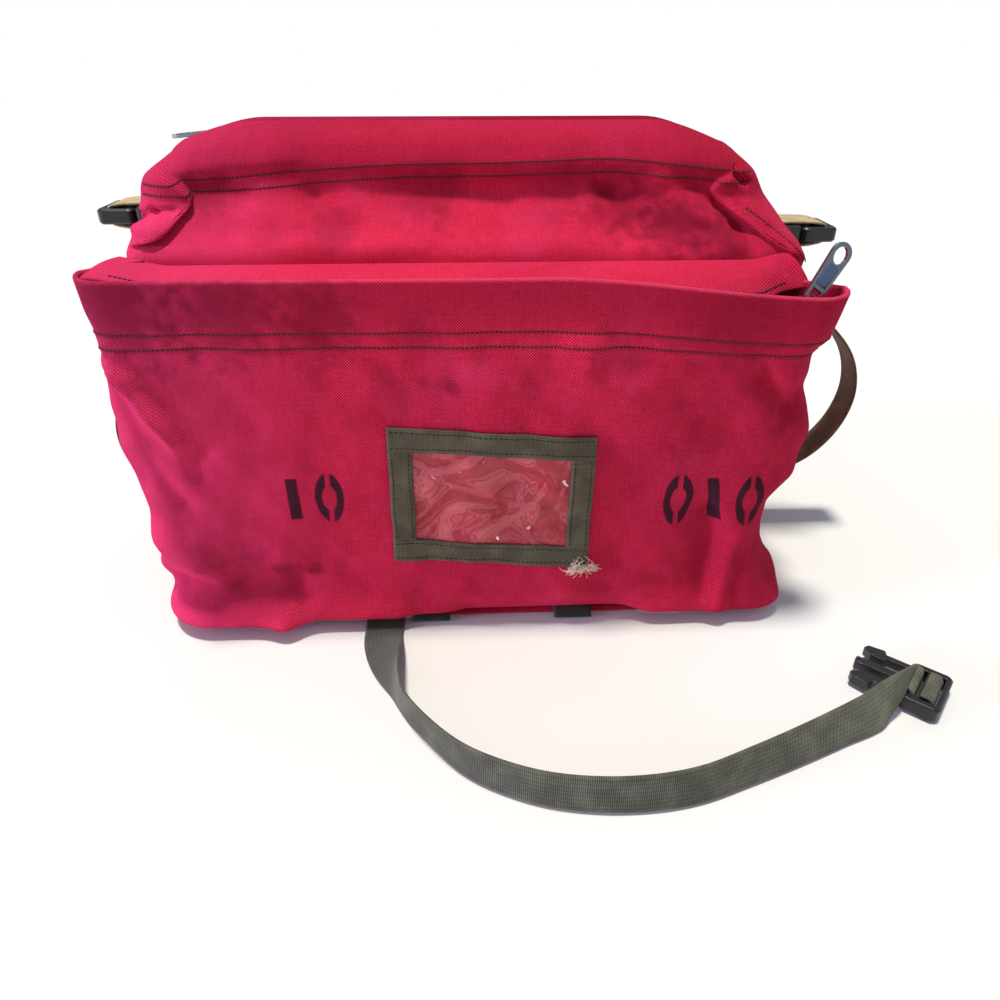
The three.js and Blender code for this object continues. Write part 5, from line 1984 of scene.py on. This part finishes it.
@dataclass(frozen=True)
class NameWindow:
    """The name window on the pocket's front: a clear sheet under four stitched tapes."""

    x: float = 14.0
    z: float = 95.3
    width: float = 121.0
    height: float = 90.0
    turn: float = -4.2
    lean: float = -0.8
    tape: float = 14.0
    margin: float = 2.0
    vinyl: float = 0.5
    thick: float = 1.2
    inset: float = 2.2
    stitch: StitchSpec = StitchSpec(2.4, 0.6, 0.7, 0.5)
    stitch_end: float = 1.0
    least_grid: int = 6
    sheet_spacing: float = 1.0
    swell_edge: float = 12.0
    swell_height: float = 1.1
    fold_mean: float = 0.6
    fold_lengths: Place = (7.0, 9.0, 6.0)
    fold_sway: float = 1.5
    fold_lag: float = 0.8

    @property
    def inner(self) -> Span:
        """Half of the opening's width and height."""
        return self.width / 2 - self.tape, self.height / 2 - self.tape

    def swell(self, p: Array, q: Array) -> Array:
        """Gives the clear sheet's bulge: ramps from the opening's edges, times folds as a product of sines.

        Args:
            p: Distances across the window.
            q: Distances up the window.

        Returns:
            The lift at each place.
        """
        inner_p, inner_q = self.inner
        open_p = 1 - ramp(inner_p - self.swell_edge, inner_p, np.abs(p))
        open_q = 1 - ramp(inner_q - self.swell_edge, inner_q, np.abs(q))
        along, bend, up = self.fold_lengths
        sway = np.sin(p / along + self.fold_sway * np.sin(q / bend))
        depth = 1 - self.fold_mean
        folds = self.fold_mean + depth * sway * np.sin(q / up + self.fold_lag)
        return self.swell_height * open_p * open_q * folds

    def lay(self, p: Array, q: Array, lift: Array | float) -> Array:
        """Lays a patch on the pocket's front, turned with the window and lifted along the face's normal.

        Args:
            p: Distances across the window.
            q: Distances up the window.
            lift: Distance off the face.

        Returns:
            Points in millimetres.
        """
        turn, lean = np.radians(self.turn), np.radians(self.lean)
        x = self.x + p * np.cos(turn) - q * np.sin(lean)
        z = self.z + p * np.sin(turn) + q * np.cos(lean)
        points, normals = POCKET.front(x, z)
        return points + normals * np.asarray(lift)[..., None]

    def patch(
        self, name: str, box: tuple[float, float, float, float], base: float, thick: float,
        bulge: Callable[[Array, Array], Array] | None = None, spacing: float = 1.5,
    ) -> bpy.types.Object:
        """Builds a patch of even thickness.

        Args:
            name: Object name.
            box: Lowest p and q and highest p and q.
            base: Distance of its back off the face.
            thick: Thickness.
            bulge: Further lift by p and q.
            spacing: Grid spacing.

        Returns:
            The object.
        """
        p0, q0, p1, q1 = box
        p = np.linspace(p0, p1, max(self.least_grid, int((p1 - p0) / spacing)))[:, None]
        q = np.linspace(q0, q1, max(self.least_grid, int((q1 - q0) / spacing)))[None]
        p, q = np.broadcast_arrays(p, q)
        extra = 0.0 if bulge is None else bulge(p, q)
        grid = self.lay(p, q, base + thick + extra + 0 * p)
        flip = (p1 - p0) < (q1 - q0)
        uv = np.stack([p, q] if flip else [q, p], -1)
        return cloth_shell(name, grid, np.full(p.shape, thick), uv, False, 2)

    def build(self, finishes: Finishes) -> None:
        """Builds and dresses the window.

        Args:
            finishes: Materials.
        """
        half_p, half_q = self.width / 2, self.height / 2
        inner_p, inner_q = self.inner
        m = self.margin
        box = (m - half_p, m - half_q, half_p - m, half_q - m)
        sheet = self.patch("window_clear", box, GAP, self.vinyl, self.swell, self.sheet_spacing)
        dress(sheet, finishes.vinyl, Body.BAG, ("window_sheet",))
        base = 2 * GAP + self.vinyl
        boxes = {
            "top": (-half_p, inner_q, half_p, half_q),
            "bottom": (-half_p, -half_q, half_p, -inner_q),
            "left": (-half_p, GAP - inner_q, -inner_p, inner_q - GAP),
            "right": (inner_p, GAP - inner_q, half_p, inner_q - GAP),
        }
        for name, place in boxes.items():
            tape = self.patch(f"window_binding_{name}", place, base, self.thick)
            dress(tape, finishes.tape, Body.BAG, (f"window_tape_{name}",))
            length = max(place[2] - place[0], place[3] - place[1])
            length * MM
        paths = [path for place in boxes.values() for path in self.seam(place)]
        seams = stitch_mesh("stitches_window", paths, self.stitch)
        dress(seams, finishes.tape_thread, Body.BAG)
        corner = (half_p, -half_q)
        dress(Tuft().build(self.lay, corner), finishes.fibre, Body.BAG)

    def seam(self, place: tuple[float, float, float, float], count: int = 160) -> list[tuple[Array, Array]]:
        """Follows the two stitch rows of a tape.

        Args:
            place: Box of the tape.
            count: Points on each path.

        Returns:
            Two paths with normals.
        """
        p0, q0, p1, q1 = place
        lift = 2 * GAP + self.vinyl + self.thick
        t = np.linspace(0, 1, count)
        end = self.stitch_end
        paths = []
        for share in (self.inset, self.tape - self.inset):
            if p1 - p0 > q1 - q0:
                p, q = p0 + end + (p1 - p0 - 2 * end) * t, np.full(count, q0 + share)
            else:
                p, q = np.full(count, p0 + share), q0 + end + (q1 - q0 - 2 * end) * t
            points = self.lay(p, q, lift)
            paths.append((points, unit(self.lay(p, q, lift + 1) - points)))
        return paths


@dataclass(frozen=True)
class SideStrap:
    """One side's buckle with the webbing over it and the slack strap below it."""

    side: Side
    x: float
    y: float
    z: float
    slack: tuple[Span, ...]
    tab: tuple[Span, ...] = (
        (-42, 7.0), (-25, 6.9), (-9, 6.9), (3, 6.3), (8.5, 4.7), (10, 0), (8.5, -4.7), (2, -6.8),
        (-9, -8.2), (-18, -10),
    )
    start: tuple[Span, ...] = ((0, 3), (0, -6), (2, -13))
    slot: float = -40.9
    sewn: tuple[Span, ...] = ((42, 6), (36, 1.8), (30, 0.9), (23, 0.6), (16, 0.6))
    clear: float = 5.0

    def local(self, places: tuple[Span, ...], shift: float = 0.0) -> Array:
        """Moves places from the buckle's frame to the pack's.

        Args:
            places: Distances along the buckle and up.
            shift: Distance added along the buckle.

        Returns:
            Points in millimetres.
        """
        table = np.array(places, float)
        x = self.x + self.side.value * (table[:, 0] + shift)
        return np.stack([x, np.full(len(table), self.y), self.z + table[:, 1]], -1)

    def routes(self) -> tuple[Route, Route]:
        """Gives the routes of the tab and of the slack strap.

        Returns:
            Both routes.
        """
        tab_z = self.z + self.tab[0][1]
        reaches = [MAIN.side_reach(self.side, self.y + k * WEB_WIDTH / 2, tab_z) for k in (-1, 0, 1)]
        first = np.array([[self.side.value * (max(reaches) + self.clear), self.y, tab_z]])
        tab = np.concatenate([first, self.local(self.tab)])
        hang = [(self.side.value * out, self.y, z) for out, z in self.slack]
        down = []
        for z, off in self.sewn:
            out = MAIN.side_reach(self.side, self.y, z) + off + WEB_THICK / 2
            down.append((self.side.value * out, self.y, z))
        strap = np.concatenate([self.local(self.start, self.slot), hang, down])
        return Route.held(tab, BACKWARD), Route.held(strap, BACKWARD)

    def build(self, finishes: Finishes) -> None:
        """Builds and dresses this side.

        Args:
            finishes: Materials.
        """
        name = self.side.name.lower()
        tab_route, strap_route = self.routes()
        tab = webbing_mesh(f"webbing_tab_{name}", tab_route)
        strap = webbing_mesh(f"webbing_side_{name}", strap_route)
        dress(tab, finishes.tan, Body.BAG, (f"side_tab_{name}",))
        dress(strap, finishes.brown, Body.BAG, (f"side_strap_{name}",))
        for piece, route in ((tab, tab_route), (strap, strap_route)):
            flat = (WEB_WIDTH * MM, route.length() * MM)
        for part in ("toothed", "sleeve"):
            set_finish(f"side_buckle_{part}_{name}", finishes.plastic)


@dataclass(frozen=True)
class Belt:
    """The long strap laid on the floor with its buckle half, and the two lash tabs under the front edge."""

    sewn: tuple[Span, ...] = ((-57, -84), (-57, -94))
    floor_y: float = -106.0
    sewn_z: float = BASE_THICK + GAP + WEB_THICK / 2
    floor_z: float = GAP + WEB_THICK / 2
    route: tuple[Place, ...] = (
        (-57, -118, 4), (-55, -132, 20), (-51, -150, 50), (-45, -168, 78), (-38, -187, 93), (-26, -204, 96),
        (-8, -224, 93), (8, -235, 91), (34, -246, 89), (62, -251, 87), (90, -251, 85), (114, -247, 83),
        (142, -237, 80), (172, -225, 76), (204, -211, 71), (223, -202, 63),
    )
    turn: tuple[tuple[float, ...], ...] = (
        (240, -191, 13.5, 0.30, 0.65, 0.70), (251, -183.5, 15.5, 0.58, 0.77, 0.26),
    )
    buckle: tuple[float, float, float, float] = (261.5, -180, 5.7, -42)
    loop: tuple[Span, ...] = (
        (-4.8, 7.0), (-1.6, 5.4), (-0.7, 1.6), (0.2, -3.2), (2.6, -4.6), (7.2, -4.6), (9.4, -3.2), (10.1, 0),
        (9.5, 3.4), (7.4, 5.2), (5, 5.4), (2.8, 5.4),
    )
    lash: tuple[tuple[str, float], ...] = (("left", -27), ("right", 68))
    lash_y: Place = (-86.0, -94.0, -101.0)

    def path(self) -> Route:
        """Gives the belt's route from the seam over the floor and round the buckle's bar.

        Returns:
            The route.
        """
        x0 = self.sewn[0][0]
        centres = [(x, y, self.sewn_z) for x, y in self.sewn] + [(x0, self.floor_y, self.floor_z)]
        across = [RIGHTWARD] * len(centres)
        table = np.array(self.route)
        last = len(table) - 1
        for k, (x, y, tilt) in enumerate(table):
            ahead = table[min(last, k + 1), :2] - table[max(0, k - 1), :2]
            heading = np.arctan2(ahead[1], ahead[0])
            lean = np.radians(tilt)
            level, rise = np.cos(lean), np.sin(lean)
            centres.append((x, y, self.floor_z + rise * WEB_WIDTH / 2))
            across.append((-np.sin(heading) * level, np.cos(heading) * level, rise))
        for x, y, z, ax, ay, az in self.turn:
            centres.append((x, y, z))
            across.append((ax, ay, az))
        x, y, z, turn = self.buckle
        angle = np.radians(turn)
        for along, up in self.loop:
            centres.append((x + along * np.cos(angle), y + along * np.sin(angle), z + up))
            across.append((-np.sin(angle), np.cos(angle), 0.0))
        return Route(np.array(centres), np.array(across))

    def build(self, finishes: Finishes) -> None:
        """Builds and dresses the belt and the lash tabs.

        Args:
            finishes: Materials.
        """
        path = self.path()
        belt = webbing_mesh("webbing_belt", path)
        dress(belt, finishes.belt, Body.BAG, ("belt_strap",))
        flat = (WEB_WIDTH * MM, path.length() * MM)
        set_finish("belt_buckle_toothed", finishes.plastic)
        heights = (self.sewn_z, self.sewn_z, self.floor_z)
        for name, x in self.lash:
            centres = np.array([(x, y, z) for y, z in zip(self.lash_y, heights, strict=True)])
            route = Route.held(centres, RIGHTWARD)
            tab = webbing_mesh(f"webbing_lash_{name}", route)
            dress(tab, finishes.belt, Body.BAG, (f"lash_tab_{name}",))
            route.length() * MM


@dataclass(frozen=True)
class Cloth:
    """The canvas walls, the base panel and their stitch rows."""

    base: tuple[float, float, float, float] = (-184.0, -94.0, 188.0, 88.0)
    corner: float = 22.0
    arc_points: int = 9
    hub: float = 0.0005
    rings: int = 14
    rim: int = 2
    main_flat: Span = (1.01, 0.335)
    pocket_flat: Span = (0.50, 0.225)
    base_flat: Span = (0.372, 0.182)
    ridge_points: int = 120
    hem_points: int = 1400

    def base_panel(self) -> bpy.types.Object:
        """Builds the base: a round-cornered sheet on the floor.

        Returns:
            The object.
        """
        x0, y0, x1, y1 = self.base
        arc = np.linspace(0, QUARTER, self.arc_points)
        r = self.corner
        centres = ((x1 - r, y1 - r, 0), (x0 + r, y1 - r, 1), (x0 + r, y0 + r, 2), (x1 - r, y0 + r, 3))
        outline = np.concatenate([
            np.stack([cx + r * np.cos(arc + k * QUARTER), cy + r * np.sin(arc + k * QUARTER)], -1)
            for cx, cy, k in centres
        ])
        middle = np.array([(x0 + x1) / 2, (y0 + y1) / 2])
        share = np.linspace(self.hub, 1, self.rings)[None, :, None]
        plan = middle + (outline[:, None] - middle) * share
        grid = np.concatenate([plan, np.zeros(plan.shape[:2] + (1,))], -1)
        uv = np.concatenate([plan, plan[:1]], 0)
        thick = np.full(grid.shape[:2], BASE_THICK)
        return cloth_shell("canvas_base", grid, thick, uv, True, self.rim)

    def build(self, finishes: Finishes) -> None:
        """Builds and dresses the walls, the base and the stitches.

        Args:
            finishes: Materials.
        """
        main = dress(MAIN.build(), finishes.main, Body.BAG, MAIN_NODES)
        pocket = dress(POCKET.build(), finishes.pocket, Body.BAG, ("pocket_wall",))
        base = dress(self.base_panel(), finishes.plain, Body.BAG, ("base_panel",))
        ridge_s, ridge_z = (np.linspace(*ends, self.ridge_points) for ends in (MAIN.ridge_s, MAIN.ridge_z))
        rows = {
            "band": [MAIN.band_path(drop) for drop in MAIN.band_drops],
            "ridge": [MAIN.along(ridge_s, ridge_z)],
            "seams": [MAIN.seam_path(place) for place in MAIN.seam_places],
            "foot": [MAIN.row_path(MAIN.foot_z, *ends) for ends in MAIN.foot_ends],
            "hem": [POCKET.row_path(z, *POCKET.hem_ends, self.hem_points) for z in POCKET.hem_rows],
        }
        for name, paths in rows.items():
            dress(stitch_mesh(f"stitches_{name}", paths, StitchSpec()), finishes.thread, Body.BAG)


@dataclass(frozen=True)
class Sun:
    """A broad, even light from one direction."""

    name: str
    towards: Place
    strength: float
    spread: float
    colour: Place

    def build(self) -> None:
        """Adds the light, turned to shine from its direction."""
        data = bpy.data.lights.new(self.name, "SUN")
        data.energy = self.strength
        data.angle = float(np.radians(self.spread))
        data.color = self.colour
        lamp = bpy.data.objects.new(self.name, data)
        lamp.rotation_euler = Vector(self.towards).to_track_quat("Z", "Y").to_euler()
        bpy.context.scene.collection.objects.link(lamp)


@dataclass(frozen=True)
class Studio:
    """Floor, lights, world and camera."""

    floor_half: float = 6.0
    floor_drop: float = 0.0004
    floor_colour: Colour = (0.68, 0.68, 0.68, 1.0)
    floor_rough: float = 0.9
    shade: Colour = (0.86, 0.93, 1.12, 1.0)
    shade_strength: float = 0.41
    seen: Colour = (1.0, 1.0, 1.0, 1.0)
    camera_place: Place = (0.00265, -0.49045, 0.328)
    camera_turn: Place = (59.0, 0.0, -2.4)
    lens: float = 27.0
    sensor: float = 36.0
    nearest: float = 0.01
    suns: tuple[Sun, ...] = (
        Sun("key", (-0.12, 0.02, 0.98), 3.6, 8.0, (1.0, 0.96, 0.84)),
        Sun("side", (-0.9, -0.2, 0.12), 2.0, 12.0, (0.95, 0.92, 1.35)),
    )

    def build(self) -> None:
        """Builds the studio."""
        h, z = self.floor_half, -self.floor_drop
        corners = np.array([(-h, -h, z), (h, -h, z), (h, h, z), (-h, h, z)])
        floor = bpy.data.objects.new("floor", bpy.data.meshes.new("floor"))
        floor.data.from_pydata(corners.tolist(), [], [(0, 1, 2, 3)])
        matt = Graph("floor").finish(Base_Color=self.floor_colour, Roughness=self.floor_rough)
        floor.data.materials.append(matt)
        bpy.context.scene.collection.objects.link(floor)
        for sun in self.suns:
            sun.build()
        self.world()
        data = bpy.data.cameras.new("camera")
        data.lens = self.lens
        data.sensor_width = self.sensor
        data.clip_start = self.nearest
        camera = bpy.data.objects.new("camera", data)
        camera.location = self.camera_place
        camera.rotation_euler = tuple(np.radians(self.camera_turn))
        bpy.context.scene.collection.objects.link(camera)
        bpy.context.scene.camera = camera
        bpy.context.scene.view_settings.view_transform = "Standard"

    def world(self) -> None:
        """Sets the surroundings: a cool even shade that the camera sees as white."""
        world = bpy.data.worlds.new("studio")
        world.use_nodes = True
        tree = world.node_tree
        shade = tree.nodes["Background"]
        shade.inputs["Color"].default_value = self.shade
        shade.inputs["Strength"].default_value = self.shade_strength
        seen = tree.nodes.new("ShaderNodeBackground")
        seen.inputs["Color"].default_value = self.seen
        path = tree.nodes.new("ShaderNodeLightPath")
        mix = tree.nodes.new("ShaderNodeMixShader")
        tree.links.new(path.outputs["Is Camera Ray"], mix.inputs["Fac"])
        tree.links.new(shade.outputs["Background"], mix.inputs[1])
        tree.links.new(seen.outputs["Background"], mix.inputs[2])
        tree.links.new(mix.outputs["Shader"], tree.nodes["World Output"].inputs["Surface"])
        bpy.context.scene.world = world


SIDES = (
    SideStrap(Side.RIGHT, 227, 22, 225, (
        (191, 203), (217, 186), (252, 165), (276, 139), (284, 112), (279, 86), (264, 64), (243, 50),
        (220, 44),
    )),
    SideStrap(Side.LEFT, -210, 22, 239.5, (
        (178, 214), (199, 194), (220, 168), (236, 140), (247, 114), (253, 90), (251, 72), (241, 58),
        (222, 47),
    )),
)


def write_sizes() -> None:
    """Updates the view layer.
    """
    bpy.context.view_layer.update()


def main() -> None:
    """Builds the pack piece by piece, then the studio."""
    logging.basicConfig(level=logging.INFO, format="%(name)s %(message)s")
    finishes = Finishes.make()
    Cloth().build(finishes)
    Mouths().build(finishes)
    NameWindow().build(finishes)
    for strap in SIDES:
        strap.build(finishes)
    Belt().build(finishes)
    Studio().build()
    write_sizes()


if __name__ == "__main__":
    main()
